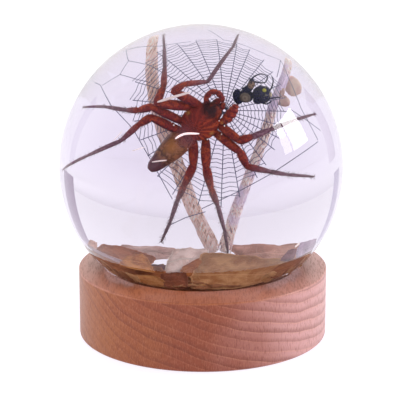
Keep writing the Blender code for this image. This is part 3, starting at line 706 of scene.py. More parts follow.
def body_axes(paint, where):
    """How far along the spider's body and to its left a point lies."""
    across = paint.axis(where, "X") - BODY_CENTRE.x
    rise = paint.axis(where, "Z") - BODY_CENTRE.z
    along, aside = cos(BODY_HEADING), sin(BODY_HEADING)
    return across * along + rise * aside, rise * along - across * aside


def silk_paint(settings):
    """Dusty silk: grey-blue with darker stretches."""
    paint = Paint("web_silk", Roughness=0.6, Specular_IOR_Level=0.0)
    speck = paint.noise(paint.place(), 1.4, 2.0)
    paint.feed("Base Color", paint.mix(speck, settings.silk_dark, settings.silk))
    return paint


def bark_paint(name, tones, tilt):
    """Peeling, fibrous bark along a stem that leans by tilt. It glows a little in its own colour, a painted
    light that brightens it.
    """
    paint = Paint(name, Roughness=0.85, Specular_IOR_Level=0.0, Emission_Strength=0.24)
    turn = (0.0, tilt, 0.0)
    strands = paint.noise(paint.place((2.6, 2.6, 0.16), turn), 1.0, 4.0, 0.6)
    fine = paint.noise(paint.place((6.0, 6.0, 0.5), turn), 1.0, 3.0, 0.6)
    patch = paint.noise(paint.place(), 0.16, 2.0)
    colour = paint.ramp(strands * 0.7 + fine * 0.3, (0.38, tones[0]), (0.50, tones[1]), (0.62, tones[2]))
    colour = paint.mix(patch.rise(0.42, 0.62) * 0.7, colour, tones[3])
    paint.feed("Base Color", colour)
    # Painted light: the bark glows in its own colour.
    paint.feed("Emission Color", colour)
    paint.bump(strands + fine * 0.5, 0.5)
    return paint


def leaf_paint(name):
    """A dead leaf: midrib and side veins on the leaf's own map, blotches, painted shade inside its edges and
    a painted highlight on its rim.
    """
    light, dark = LEAF_TONES[name]
    paint = Paint(name, Roughness=0.6, Specular_IOR_Level=0.1)
    spot = paint.node("ShaderNodeUVMap", {"uv_map": "leaf"}, {})
    along = paint.axis(spot, "X")
    across = abs(paint.axis(spot, "Y") - 0.5) * 2.0
    rib = 1.0 - across.rise(0.02, 0.07)
    where = paint.place()
    blotch = paint.noise(where, 0.22, 4.0, 0.6)
    vein = ((along - across * 0.22 + (blotch - 0.5) * 0.3) * 9.0).wrapped()
    side_vein = (1.0 - abs(vein - 0.5).rise(0.02, 0.14)) * (1.0 - across.rise(0.6, 1.0) * 0.8)
    web_of_veins = paint.noise(where, 2.2, 3.0, 0.7)
    colour = paint.mix(blotch.rise(0.36, 0.62), light, dark)
    pale = tuple(min(1.0, part * 1.35 + 0.03) for part in light)
    deep = tuple(part * 0.5 for part in dark)
    colour = paint.mix(web_of_veins.rise(0.5, 0.8) * 0.4, colour, pale)
    colour = paint.mix(blotch.rise(0.62, 0.72) * 0.5, colour, deep)
    colour = paint.mix(side_vein * 0.16 + rib * 0.4, colour, pale)
    # Painted shade in a band inside the leaf's edge, and a painted highlight on its very rim.
    edge = across.math("MAXIMUM", abs(along - 0.5) * 2.0)
    colour = paint.mix(edge.rise(0.72, 0.95) * 0.35, colour, deep)
    colour = paint.mix(edge.rise(0.955, 0.985) * 0.5, colour, pale)
    paint.feed("Base Color", colour)
    paint.bump(side_vein * 0.4 + rib + web_of_veins * 0.5 + blotch * 0.8, 0.25)
    return paint


def petal_paint():
    """Dry petals: beige, flushed with pink, with paler fibres."""
    paint = Paint("dried_petal", Roughness=0.7, Specular_IOR_Level=0.0)
    where = paint.place()
    flush = paint.noise(where, 0.5, 3.0)
    fibres = paint.noise(paint.place((0.8, 0.8, 4.0), (0.0, 0.6, 0.0)), 1.0, 3.0)
    colour = paint.mix(flush.rise(0.38, 0.62), (0.74, 0.56, 0.46), (0.66, 0.42, 0.38))
    colour = paint.mix(fibres.rise(0.5, 0.75) * 0.5, colour, (0.84, 0.72, 0.68))
    paint.feed("Base Color", colour)
    paint.bump(fibres + flush, 0.12)
    return paint


def fly_paint():
    """Navy-black fly with a dusty tan thorax and a pale flecked rear."""
    paint = Paint("fly_shell", Roughness=0.4, Specular_IOR_Level=0.0)
    where = paint.place()
    grain = paint.noise(where, 2.2, 3.0, 0.65)
    thorax = 1.0 - paint.distance(where, FLY_DUST).rise(0.9, 1.5)
    rings = (paint.distance(where, FLY_DUST) * 9.0).sine() * 0.5 + 0.5
    neck = 1.0 - paint.distance(where, FLY_BROWN).rise(0.5, 1.3)
    fleck = 1.0 - paint.distance(where, FLY_FLECK).rise(0.35, 0.7)
    cream = 1.0 - paint.distance(where, FLY_CREAM[1][0]).rise(0.4, 0.75)
    colour = paint.mix(grain.rise(0.45, 0.7), (0.004, 0.003, 0.026), (0.024, 0.016, 0.095))
    dusty = paint.mix(rings * 0.6 + grain * 0.3, (0.34, 0.27, 0.20), (0.12, 0.09, 0.07))
    colour = paint.mix(thorax * 0.85, colour, dusty)
    colour = paint.mix(neck * grain.rise(0.38, 0.55) * 0.8, colour, (0.42, 0.26, 0.16))
    specks = paint.noise(where, 3.2, 2.0, 0.5).rise(0.60, 0.68) * paint.axis(where, "X").rise(12.6, 15.0)
    colour = paint.mix(specks * 0.6, colour, (0.50, 0.46, 0.34))
    colour = paint.mix(fleck, colour, (0.42, 0.40, 0.06))
    colour = paint.mix(cream, colour, (0.62, 0.52, 0.34))
    paint.feed("Base Color", colour)
    paint.bump(grain, 0.3)
    return paint


def film_paint():
    """Air film seen from inside the resin: a smoky mauve veil, thinner towards the spider's head."""
    paint = Paint("smoky_film", Base_Color=(0.21, 0.055, 0.070, 1.0), Roughness=0.25, Specular_IOR_Level=0.0)
    where = paint.place()
    ahead, left = body_axes(paint, where)
    cloud = paint.noise(where, 0.4, 3.0)
    middle = ((ahead - FILM_PLACE[0]) / FILM_HALF[0]) ** 2.0 + ((left - FILM_PLACE[1]) / FILM_HALF[1]) ** 2.0
    veil = (0.0 - ahead).rise(-0.5, 5.5) * (1.0 - middle.rise(0.1, 0.8))
    paint.feed("Alpha", veil * (0.3 + cloud * 0.6))
    return paint


def glint_paint():
    """Painted highlights on slivers and tiny balls, which glow as far as their shine says."""
    paint = Paint("painted_glint", Base_Color=(0.92, 0.78, 0.74, 1.0), Roughness=0.35, Specular_IOR_Level=0.3,
                  Emission_Strength=1.0)
    paint.feed("Emission Color", paint.mix(paint.attribute("shine"), (0.0, 0.0, 0.0), (1.0, 0.84, 0.78)))
    return paint


# ---- Holder ----
def base_outline():
    """The turned profile, from the middle of the underside out, up and back in to the seat."""
    outline = [(0.0, 0.0)]
    for step in range(FOOT_STEPS + 1):
        turn = pi / 2.0 * step / FOOT_STEPS
        outline.append((BASE_RADIUS - FOOT_ROUND * (1.0 - sin(turn)), FOOT_ROUND * (1.0 - cos(turn))))
    outline += [(BASE_RADIUS, height) for height in SIDE_HEIGHTS]
    rim = SEAT_HEIGHT - RIM_DROP
    for step in range(RIM_STEPS + 1):
        turn = pi / 2.0 * step / RIM_STEPS
        outline.append((BASE_RADIUS - RIM_BREAK * (1.0 - cos(turn)), rim - RIM_BREAK * (1.0 - sin(turn))))
    for step in range(1, TOP_STEPS + 1):
        share = step / TOP_STEPS
        outline.append((BASE_RADIUS - RIM_BREAK - (BASE_RADIUS - RIM_BREAK - SEAT_RADIUS) * share,
                        rim + RIM_DROP * sin(share * pi / 2.0)))
    outline.append((0.0, SEAT_HEIGHT))
    return outline


def globe_outline():
    """The ball's profile: flat foot, narrow bevel, then the wall from just inside the ball up to the top."""
    bevel_top = GLOBE_FOOT + FOOT_BEVEL
    start = -asin((GLOBE_CENTRE.z - bevel_top) / GLOBE_RADIUS)
    outline = [(0.0, GLOBE_FOOT), (FOOT_RADIUS - FOOT_BREAK[0], GLOBE_FOOT),
               (FOOT_RADIUS, GLOBE_FOOT + FOOT_BREAK[1])]
    for step in range(GLOBE_ARC_STEPS):
        latitude = start + (pi / 2.0 - start) * step / GLOBE_ARC_STEPS
        height = GLOBE_CENTRE.z + GLOBE_RADIUS * sin(latitude)
        tuck = FOOT_TUCK * max(0.0, 1.0 - (height - bevel_top) / FOOT_TUCK_HEIGHT) ** 2
        outline.append((GLOBE_RADIUS * cos(latitude) - tuck, height))
    outline.append((0.0, GLOBE_CENTRE.z + GLOBE_RADIUS))
    return outline


# ---- Spider ----
def body_turn():
    """Turns the body's own axes, ahead, to its left and outwards, into the model's."""
    ahead = Vector((cos(BODY_HEADING), 0.0, sin(BODY_HEADING)))
    left = Vector((-sin(BODY_HEADING), 0.0, cos(BODY_HEADING)))
    outward = Vector((0.0, -1.0, 0.0))
    return Matrix((ahead, left, outward)).transposed()


def body_frame(place=(0.0, 0.0, 0.0)):
    return Matrix.Translation(BODY_CENTRE) @ body_turn().to_4x4() @ Matrix.Translation(place)


def carve_carapace(verts):
    """Flatten the underside, narrow the front and sink furrows that run out from the middle pit."""
    back = body_frame().inverted()
    for vert in verts:
        spot = back @ vert.co
        if spot.z < 0.0:
            spot.z *= 0.6
        spot.y *= 1.0 - 0.16 * max(0.0, spot.x / CARAPACE_HALF[0])
        out = spot.xy - FOVEA
        reach = out.length
        furrow = max(0.0, cos(FURROWS * atan2(out.y, out.x))) ** 3
        depth = 0.22 * furrow * exp(-((reach - 1.9) / 1.3) ** 2) + 0.35 * exp(-(reach / 0.5) ** 2)
        if spot.z > 0.0:
            spot.z -= depth
        spot.z += 0.08 * unevenness(spot, 0.7)
        vert.co = body_frame() @ spot


def limb_stations(joints, widths, girth):
    """Places and radii along a limb that swells between its joints; girth is for its first segment."""
    stations = []
    joints = [Vector(joint) for joint in joints]
    for number, (near, far) in enumerate(zip(joints, joints[1:])):
        for share, swell in SEGMENT_SWELL:
            width = widths[number] + (widths[number + 1] - widths[number]) * share
            stout = 1.0 + (girth - 1.0) * sin(share * pi) if number == 0 else 1.0
            stations.append(Vector((*near.lerp(far, share), width * swell * stout)))
    stations.append(Vector((*joints[-1], widths[-1] * 0.5)))
    return [stations[0]] + round_corners(stations[1:-1]) + [stations[-1]]


def round_corners(stations):
    """Pull each station a third of the way to the middle of its neighbours."""
    eased = [stations[0]]
    for before, here, after in zip(stations, stations[1:], stations[2:]):
        eased.append(here.lerp((before + after) / 2.0, 0.34))
    return eased + [stations[-1]]


def add_limb(bm, joints, widths, marks, reach=1.0, girth=1.0, sides=14):
    """One leg or palp, marked with how near to its toe each vertex is, times reach."""
    stations = limb_stations(joints, widths, girth)
    rings = sweep(bm, stations, sides)
    for number, ring in enumerate(rings):
        for vert in ring:
            vert[marks] = number / (len(rings) - 1) * reach
            vert.co += Vector((0.0, 0.0, 1.0)).cross(vert.co).normalized() * 0.05 * unevenness(vert.co, 0.6)
    return stations


def add_limb_hairs(bm, stations, count, length, draw, reach=1.0):
    """Hairs over a limb, leaning towards its toe, made in a mesh of their own and then joined on."""
    hairs = bmesh.new()
    marks = hairs.verts.layers.float.new("toward_toe")
    hairs.verts.layers.float.new("tail")
    for _ in range(count):
        spot = draw.random() * (len(stations) - 1.001)
        number = int(spot)
        here = stations[number].lerp(stations[number + 1], spot - number)
        ahead = (stations[number + 1].to_3d() - stations[number].to_3d()).normalized()
        out = ahead.orthogonal().normalized()
        out.rotate(Matrix.Rotation(draw.uniform(0.0, 2.0 * pi), 3, ahead))
        direction = (out + ahead * draw.uniform(0.3, 1.1)).normalized()
        root = here.to_3d() + out * here[3] * 0.85
        for vert in add_hair(hairs, root, direction, length * draw.uniform(0.5, 1.3), HAIR_RADIUS):
            vert[marks] = spot / (len(stations) - 1) * reach
    join(bm, hairs)


def join(bm, extra):
    """Add the mesh extra to bm."""
    carrier = bpy.data.meshes.new("carrier")
    extra.to_mesh(carrier)
    extra.free()
    bm.from_mesh(carrier)
    bpy.data.meshes.remove(carrier)


def add_tail(bm, tail_mark):
    """The tail, which narrows from its middle to its end."""
    frame_here = body_frame((0.0, 0.0, TAIL_DROP))
    stations = []
    for along, radius in smooth_run(TAIL_PROFILE, 4):
        stations.append(Vector((*(frame_here @ Vector((along, 0.0, 0.0))), radius)))
    centre = frame_here @ Vector((TAIL_MIDDLE, 0.0, 0.0))
    for ring in sweep(bm, stations, 36):
        for vert in ring:
            vert[tail_mark] = 1.0
            vert.co += (vert.co - centre).normalized() * 0.10 * unevenness(vert.co, 1.6)


def build_spider(settings):
    bm = bmesh.new()
    marks = bm.verts.layers.float.new("toward_toe")
    tail_mark = bm.verts.layers.float.new("tail")
    draw = Random(SPIDER_SEED)
    carve_carapace(add_ball(bm, body_frame(), CARAPACE_HALF, 64, 40))
    add_ball(bm, body_frame(HEAD_PLACE), HEAD_HALF, 40, 24)
    ahead, side, out = JAW_PLACE
    for hand in (1.0, -1.0):
        add_ball(bm, body_frame((ahead, side * hand, out)), JAW_HALF)
    for ahead, side, out, radius in EYES:
        add_ball(bm, body_frame((ahead, side, out)), (radius, radius, radius), 12, 8)
    add_tail(bm, tail_mark)
    for joints, girth, reach in zip(LEGS, THIGH_GIRTHS, TOE_REACH):
        stations = add_limb(bm, joints, LEG_WIDTHS, marks, reach, girth)
        add_limb_hairs(bm, stations, settings.leg_hairs, LEG_HAIR, draw, reach)
    for joints, widths in zip(PALPS, PALP_WIDTHS):
        stations = add_limb(bm, joints, widths, marks, PALP_TINT)
        add_limb_hairs(bm, stations, settings.leg_hairs // PALP_THINNING, PALP_HAIR, draw, PALP_TINT)
    bmesh.ops.recalc_face_normals(bm, faces=bm.faces)
    bm.normal_update()
    # How far each vertex faces downwards, for the shade painted on the lower faces.
    under = bm.verts.layers.float.new("under")
    for vert in bm.verts:
        vert[under] = 0.5 - vert.normal.z / 2.0
    add_piece(bm, "spider_specimen", spider_paint(settings), ["spider"])


# ---- Web ----
def web_reach(angle):
    """How far the spiral reaches in a direction given in degrees."""
    first = WEB_REACH[0][0]
    angle = (angle - first) % 360.0 + first
    for (low, near), (high, far) in zip(WEB_REACH, WEB_REACH[1:]):
        if low <= angle <= high:
            return near + (far - near) * (angle - low) / (high - low)
    return WEB_REACH[-1][1]


def web_stretch(angle):
    """How much wider the spiral is spun on the lower left than on the upper right."""
    return 1.0 + WEB_LOOSER * (1.0 + cos(radians(angle - WEB_LOOSE_SIDE))) / 2.0


def web_spot(angle, reach):
    turn = radians(angle)
    return Vector((WEB_HUB.x + reach * cos(turn), WEB_Y, WEB_HUB.y + reach * sin(turn)))


def build_web(settings):
    bm = bmesh.new()
    draw = Random(WEB_SEED)
    radius = settings.thread / MM / 2.0
    pitch = settings.pitch / MM
    angles = [(number + draw.uniform(-SPOKE_JITTER, SPOKE_JITTER)) * 360.0 / WEB_SPOKES
              for number in range(WEB_SPOKES)]
    for angle in angles:
        add_rod(bm, web_spot(angle, SPOKE_START), web_spot(angle, web_reach(angle)), radius * SPOKE_GIRTH)
    for turn in range(int(max(reach for _, reach in WEB_REACH) / pitch)):
        round_threads = bmesh.new()
        for angle, after in zip(angles, angles[1:] + [angles[0] + 360.0]):
            start = WEB_FREE + pitch * (turn + angle / 360.0) + draw.uniform(-TURN_JITTER, TURN_JITTER)
            if start * web_stretch(angle) < min(web_reach(angle), web_reach(after)):
                add_spiral_thread(round_threads, angle, after, start, pitch, radius, draw)
        join(bm, round_threads)
    for run in GUY_THREADS:
        points = [Vector((x, WEB_Y, z)) for x, z in run]
        for start, end in zip(points, points[1:]):
            add_rod(bm, start, end, radius * GUY_GIRTH)
    bmesh.ops.recalc_face_normals(bm, faces=bm.faces)
    add_piece(bm, "orb_web", silk_paint(settings), ["web"])


def add_spiral_thread(bm, angle, after, start, pitch, radius, draw):
    """One thread between two spokes, which sags a little towards the hub."""
    end = (start + pitch * (after - angle) / 360.0) * web_stretch(after)
    start *= web_stretch(angle)
    middle = web_spot((angle + after) / 2.0, (start + end) / 2.0 * draw.uniform(*WEB_SAG))
    add_rod(bm, web_spot(angle, start), middle, radius, 3)
    add_rod(bm, middle, web_spot(after, end), radius, 3)


# ---- Twigs, fly and petals ----
def build_twig(name):
    points, radii = TWIGS[name]
    run = smooth_run([(x, TWIG_Y, z, radius) for (x, z), radius in zip(points, radii)], TWIG_STEPS)
    bm = bmesh.new()
    for ring in sweep(bm, run, TWIG_SIDES):
        for vert in ring:
            grain = Vector((vert.co.x * 1.6, vert.co.y * 1.6, vert.co.z * 0.12))
            middle = min(run, key=lambda station: abs(station.z - vert.co.z))
            out = (vert.co - middle.to_3d()).normalized()
            vert.co += out * (0.30 * noise.noise(grain) + 0.16 * unevenness(vert.co, 2.2) - 0.12)
    add_strands(bm, run, Random(len(name)))
    bmesh.ops.recalc_face_normals(bm, faces=bm.faces)
    top, bottom = run[0], run[-1]
    tilt = atan2(top.x - bottom.x, top.z - bottom.z)
    bark = bark_paint(name + "_bark", TWIG_TONES[name], tilt)
    add_piece(bm, name.replace("twig_", "twig_bark_"), bark, [name])


def add_strands(bm, run, draw):
    """Fibres that run along a twig, part from it here and there and splay at its foot."""
    frames = ring_frames(run)
    for number in range(STRANDS):
        turn = 2.0 * pi * number / STRANDS + draw.uniform(-0.1, 0.1)
        twist = draw.uniform(-0.25, 0.25)
        first = int(len(run) * max(0.0, draw.uniform(-0.5, 0.5)))
        last = len(run) - int(draw.uniform(0.0, 5.0))
        stations = []
        for step in range(first, last, 2):
            share = step / (len(run) - 1)
            splay = STRAND_SPLAY * draw.uniform(0.4, 1.0) * max(0.0, share - 0.9) / 0.1
            off = 0.96 + 0.16 * noise.noise(Vector((share * 9.0, number, 0.0))) + splay
            bearing = turn + twist * share
            spot = frames[step] @ Vector((cos(bearing) * off, sin(bearing) * off, 0.0))
            stations.append(Vector((*spot, draw.uniform(*STRAND_RADIUS))))
        stations[0][3] = stations[-1][3] = 0.04
        strand = bmesh.new()
        sweep(strand, stations, 5)
        join(bm, strand)


# ---- Leaves ----
def add_blade(bm, uv, corners, bow, seed, roundness=0.45, wave=0.5, grid=LEAF_GRID):
    """A thin bowed blade through four corners, with rounded corners, a ragged edge and a sunk midrib."""
    near_stem, far_stem, far_tip, near_tip = [Vector(corner) for corner in corners]
    along = (near_tip - near_stem + far_tip - far_stem) / 2.0
    across = (far_stem - near_stem + far_tip - near_tip) / 2.0
    up = along.cross(across).normalized()
    for vert in bmesh.ops.create_grid(bm, x_segments=grid[0], y_segments=grid[1], size=1.0)["verts"]:
        s, t = vert.co.x, vert.co.y
        for loop in vert.link_loops:
            loop[uv].uv = ((s + 1.0) / 2.0, (t + 1.0) / 2.0)
        rim = max(abs(s), abs(t)) ** 4
        ragged = 1.0 + rim * (0.08 * noise.noise(Vector((s * 4.0, t * 4.0, seed)))
                              + 0.05 * noise.noise(Vector((s * 11.0, t * 9.0, seed))))
        u = (s * sqrt(1.0 - roundness * t * t / 2.0) * ragged + 1.0) / 2.0
        v = (t * sqrt(1.0 - roundness * s * s / 2.0) * ragged + 1.0) / 2.0
        lift = bow * (1.0 - s * s) * (1.0 - t * t)
        lift += wave * noise.noise(Vector((s * 1.6, t * 1.1, seed + 7.0)))
        lift -= 0.16 * exp(-(t * across.length / 1.2) ** 2)
        vert.co = near_stem.lerp(near_tip, u).lerp(far_stem.lerp(far_tip, u), v) + up * lift


def thicken(bm, thickness):
    bmesh.ops.solidify(bm, geom=bm.faces[:], thickness=thickness)
    bmesh.ops.recalc_face_normals(bm, faces=bm.faces)


def build_leaf(name, seed):
    bm = bmesh.new()
    add_blade(bm, bm.loops.layers.uv.new("leaf"), *LEAVES[name], seed)
    thicken(bm, LEAF_THICKNESS)
    add_piece(bm, "dead_" + name, leaf_paint(name), [name], sharp=50.0)


def build_torn_leaf(name, seed):
    bm = bmesh.new()
    add_blade(bm, bm.loops.layers.uv.new("leaf"), *TORN_LEAVES[name], seed, grid=TORN_GRID)
    thicken(bm, TORN_THICKNESS)
    add_piece(bm, name, leaf_paint(name), sharp=50.0)


def litter_height(reach):
    """Top of the mound at a distance from the middle."""
    share = min(1.0, max(0.0, LITTER_RADIUS - reach) / LITTER_SLOPE)
    return LITTER_FLOOR + (LITTER_CROWN - LITTER_FLOOR) * share


def build_litter(name, count, seed):
    """Broken flakes of leaf that lie like shingles over the mound, and stand against the globe's wall."""
    draw = Random(seed)
    slope = atan2(LITTER_CROWN - LITTER_FLOOR, LITTER_SLOPE)
    lays = []
    for number in range(count):
        share = (number + 0.5) / count
        reach = (LITTER_RADIUS - 3.0) * sqrt(share)
        lean = slope * min(1.0, reach / (LITTER_RADIUS - LITTER_SLOPE)) + radians(draw.uniform(-9.0, 6.0))
        top = litter_height(reach) - draw.uniform(0.0, 0.8)
        size = draw.uniform(*FLAKE_SIZE) * (1.0 - 0.35 * share ** 4)
        lays.append((number * FLAKE_TURN + seed, reach, top, lean, size))
    for height, free in WALL_RANKS:
        for number in range(WALL_FLAKES):
            turn = radians(free - 90.0 + (360.0 - 2.0 * free) * (number + draw.random()) / WALL_FLAKES)
            level = height + draw.uniform(-0.6, 0.6)
            drop = GLOBE_CENTRE.z - level
            reach = sqrt(GLOBE_RADIUS ** 2 - drop ** 2) - WALL_GAP - draw.uniform(0.0, 0.8)
            lean = pi / 2.0 + asin(drop / GLOBE_RADIUS)
            lays.append((turn, reach, level, lean, draw.uniform(*WALL_FLAKE_SIZE)))
    add_piece(flakes_laid(lays, seed, draw), name, leaf_paint(name), sharp=50.0)


def flakes_laid(lays, seed, draw):
    """Flakes at the given bearing, reach, height, lean outwards and size, joined a few at a time."""
    whole = bmesh.new()
    whole.loops.layers.uv.new("leaf")
    for first in range(0, len(lays), FLAKE_BATCH):
        few = bmesh.new()
        few.loops.layers.uv.new("leaf")
        for number, (turn, reach, level, lean, size) in enumerate(lays[first:first + FLAKE_BATCH], first):
            lay = Matrix.Rotation(turn, 3, "Z") @ Matrix.Rotation(lean, 3, "Y")
            lay = lay @ Matrix.Rotation(draw.uniform(0.0, 2.0 * pi), 3, "Z")
            wide = size * draw.uniform(0.55, 0.85)
            centre = Vector((reach * cos(turn), reach * sin(turn), level))
            corners = [centre + lay @ Vector((x * size / 2.0, y * wide / 2.0, 0.0))
                       for x, y in ((-1, -1), (-1, 1), (1, 1), (1, -1))]
            flake = bmesh.new()
            add_blade(flake, flake.loops.layers.uv.new("leaf"), corners, draw.uniform(0.1, 0.5),
                      number + seed, wave=0.6, grid=FLAKE_GRID)
            thicken(flake, FLAKE_THICKNESS)
            join(few, flake)
        join(whole, few)
    return whole


def build_petals():
    bm = bmesh.new()
    uv = bm.loops.layers.uv.new("leaf")
    for number, (corners, bow) in enumerate(PETALS):
        add_blade(bm, uv, corners, bow, PETAL_SEED + number, 0.95, 0.25, PETAL_GRID)
    thicken(bm, PETAL_THICKNESS)
    add_piece(bm, "petals", petal_paint(), ["dried_petals"], sharp=50.0)


# ---- Fly and film ----
def build_fly():
    bm = bmesh.new()
    for place, half in FLY_LUMPS:
        for vert in add_ball(bm, Matrix.Translation(place), half, 28, 18):
            vert.co += (vert.co - Vector(place)).normalized() * 0.12 * unevenness(vert.co, 0.5)
    sweep(bm, smooth_run(FLY_NECK, 5), 12)
    for leg in FLY_LEGS:
        run = smooth_run([(*point, 0.2 - 0.02 * number) for number, point in enumerate(leg)], 5)
        sweep(bm, run, 8)
    for place, half in FLY_CREAM:
        add_ball(bm, Matrix.Translation(place), half, 12, 8)
    bmesh.ops.recalc_face_normals(bm, faces=bm.faces)
    add_piece(bm, "caught_fly", fly_paint(), ["prey_fly"])


def build_film():
    """The thin, slightly lumpy dome of the air film."""
    bm = bmesh.new()
    for vert in add_ball(bm, body_frame(FILM_PLACE), FILM_HALF, 48, 32):
        vert.co += (vert.co - BODY_CENTRE).normalized() * 0.2 * unevenness(vert.co, 3.0)
    add_piece(bm, "air_film", film_paint())


def build_glints():
    """Painted highlights: slivers turned to the window as thin glowing ribbons, and tiny glowing balls."""
    bm = bmesh.new()
    shine_mark = bm.verts.layers.float.new("shine")
    facing = GLINT_FACING.normalized()
    for points, width, shine in GLINTS:
        run = smooth_run(points, 8)
        verts = bmesh.ops.create_grid(bm, x_segments=len(run) - 1, y_segments=2, size=1.0)["verts"]
        for vert in verts:
            number = round((vert.co.x + 1.0) / 2.0 * (len(run) - 1))
            ahead = run[min(number + 1, len(run) - 1)] - run[max(number - 1, 0)]
            across = facing.cross(ahead).normalized()
            taper = 1.0 - 0.6 * abs(vert.co.x) ** 6
            vert[shine_mark] = shine
            vert.co = run[number] + across * vert.co.y * width / 2.0 * taper
    thicken(bm, GLINT_THICKNESS)
    draw = Random(GLINT_DOT_SEED)
    for x, z in GLINT_DOTS:
        radius = draw.uniform(*GLINT_DOT_RADIUS)
        place = Matrix.Translation((x, GLINT_DOT_Y, z))
        for vert in add_ball(bm, place, (radius, radius, radius * draw.uniform(1.0, 2.0)), 8, 6):
            vert[shine_mark] = GLINT_DOT_SHINE
    add_piece(bm, "painted_film_glints", glint_paint(), sharp=40.0)


# ---- Settings ----
def colour_prop(name, description, default):
    return FloatVectorProperty(name=name, description=description, default=default, subtype="COLOR", size=3,
                               min=0.0, max=1.0)


class GlobeSettings(bpy.types.PropertyGroup):
    ior: FloatProperty(name="IOR", description="Index of refraction of the cured resin", default=1.5, min=1.3,
                       max=1.7)
    cast: colour_prop("Cast", "Colour that the resin leaves in white light", (0.79, 0.745, 0.83))
    cast_density: FloatProperty(name="Cast density", description="How fast the cast deepens, per metre",
                                default=20.0, min=0.0, max=60.0)


class BaseSettings(bpy.types.PropertyGroup):
    heart: colour_prop("Heartwood", "Red-brown middle of the block", (0.245, 0.055, 0.024))
    tawny: colour_prop("Tawny wood", "Orange-brown side of the block", (0.30, 0.092, 0.027))
    # Partly the wood's own pink and partly a painted sheen of the window light on the +X side.
    rosy_sheen: colour_prop("Rosy wood", "Pink side of the block", (0.54, 0.285, 0.275))
    top: colour_prop("Top", "Orange-tan end of the block", (0.42, 0.135, 0.050))
    dark: colour_prop("Dark wood", "Late wood and rays", (0.14, 0.026, 0.013))
    pale: colour_prop("Pale wood", "Early wood and open pores", (0.62, 0.28, 0.17))
    ring_spacing: FloatProperty(name="Ring spacing", description="Width of a growth ring, in millimetres",
                                default=3.3, min=0.5, max=10.0)


class SpiderSettings(bpy.types.PropertyGroup):
    body: colour_prop("Body", "Chitin between the hairs", (0.22, 0.021, 0.022))
    back: colour_prop("Back", "Crimson back of the front body", (0.41, 0.040, 0.018))
    # Painted light: the orange of light that would come through the chitin, strongest on upper faces.
    glow: colour_prop("Glow", "Where light comes through the chitin", (0.57, 0.088, 0.027))
    shade: colour_prop("Shade", "Dark chitin and hairs", (0.026, 0.004, 0.008))
    # Painted shade on the faces that turn downwards.
    underside: colour_prop("Underside", "Purple lower side of the legs", (0.050, 0.012, 0.036))
    hip: colour_prop("Hips", "Soft skin between back and legs", (0.70, 0.34, 0.08))
    toe: colour_prop("Toes", "Outer leg segments", (0.15, 0.058, 0.088))
    toe_light: colour_prop("Toe highlights", "Dusty patches on the toes", (0.34, 0.19, 0.24))
    tail: colour_prop("Tail", "Ochre skin of the tail", (0.34, 0.135, 0.062))
    tail_dark: colour_prop("Tail shade", "Olive-brown parts of the tail", (0.095, 0.042, 0.030))
    tail_warm: colour_prop("Tail glow", "Orange middle of the tail", (0.58, 0.20, 0.03))
    tail_ridge: colour_prop("Tail ridge", "Amber skin on the lower right of the tail", (0.42, 0.15, 0.09))
    tail_end: colour_prop("Tail end", "Mauve end of the tail", (0.11, 0.040, 0.062))
    leg_hairs: IntProperty(name="Hairs per leg", description="Number of hairs on each leg", default=420,
                           min=0, max=2000)


class WebSettings(bpy.types.PropertyGroup):
    thread: FloatProperty(name="Thread", description="Thickness of a thread", default=0.00016, unit="LENGTH")
    pitch: FloatProperty(name="Pitch", description="Distance between two turns", default=0.00074,
                         unit="LENGTH")
    silk: colour_prop("Silk", "Light side of a thread", (0.30, 0.30, 0.46))
    silk_dark: colour_prop("Dark silk", "Dark side of a thread", (0.085, 0.08, 0.15))


class StageSettings(bpy.types.PropertyGroup):
    distance: FloatProperty(name="Camera distance", description="From the camera to the object's middle",
                            default=0.55, unit="LENGTH")
    elevation: FloatProperty(name="Elevation", description="Camera's angle above the horizon",
                             default=radians(15.17), subtype="ANGLE")
    lens: FloatProperty(name="Lens", description="Focal length in millimetres on a 36 mm sensor",
                        default=155.0)


SETTINGS = {
    "resin_globe_settings": GlobeSettings,
    "resin_base_settings": BaseSettings,
    "resin_spider_settings": SpiderSettings,
    "resin_web_settings": WebSettings,
    "resin_stage_settings": StageSettings,
}


# ---- Operators ----
class RESIN_OT_base(bpy.types.Operator):
    """Turn the beech base"""

    bl_idname = "resin.base"
    bl_label = "Wood Base"

    def execute(self, context):
        settings = context.scene.resin_base_settings
        add_piece(turned(base_outline(), TURNED_STEPS), "turned_base", wood_paint(settings),
                  ["wood_base"], sharp=50.0)
        return {"FINISHED"}


class RESIN_OT_globe(bpy.types.Operator):
    """Cast the clear globe in one piece"""

    bl_idname = "resin.globe"
    bl_label = "Resin Globe"

    def execute(self, context):
        settings = context.scene.resin_globe_settings
        globe = add_piece(turned(globe_outline(), GLOBE_TURN_STEPS, GLOBE_CENTRE), "resin_globe",
                          resin_paint(settings), ["globe_front", "globe_back"], sharp=35.0)
        globe.visible_shadow = False
        return {"FINISHED"}


class RESIN_OT_spider(bpy.types.Operator):
    """Model the spider with its hairs"""

    bl_idname = "resin.spider"
    bl_label = "Spider"

    def execute(self, context):
        build_spider(context.scene.resin_spider_settings)
        return {"FINISHED"}


class RESIN_OT_web(bpy.types.Operator):
    """Spin the orb web"""

    bl_idname = "resin.web"
    bl_label = "Orb Web"

    def execute(self, context):
        build_web(context.scene.resin_web_settings)
        return {"FINISHED"}


class RESIN_OT_twigs(bpy.types.Operator):
    """Grow the two twigs behind the web"""

    bl_idname = "resin.twigs"
    bl_label = "Twigs"

    def execute(self, context):
        for name in TWIGS:
            build_twig(name)
        return {"FINISHED"}


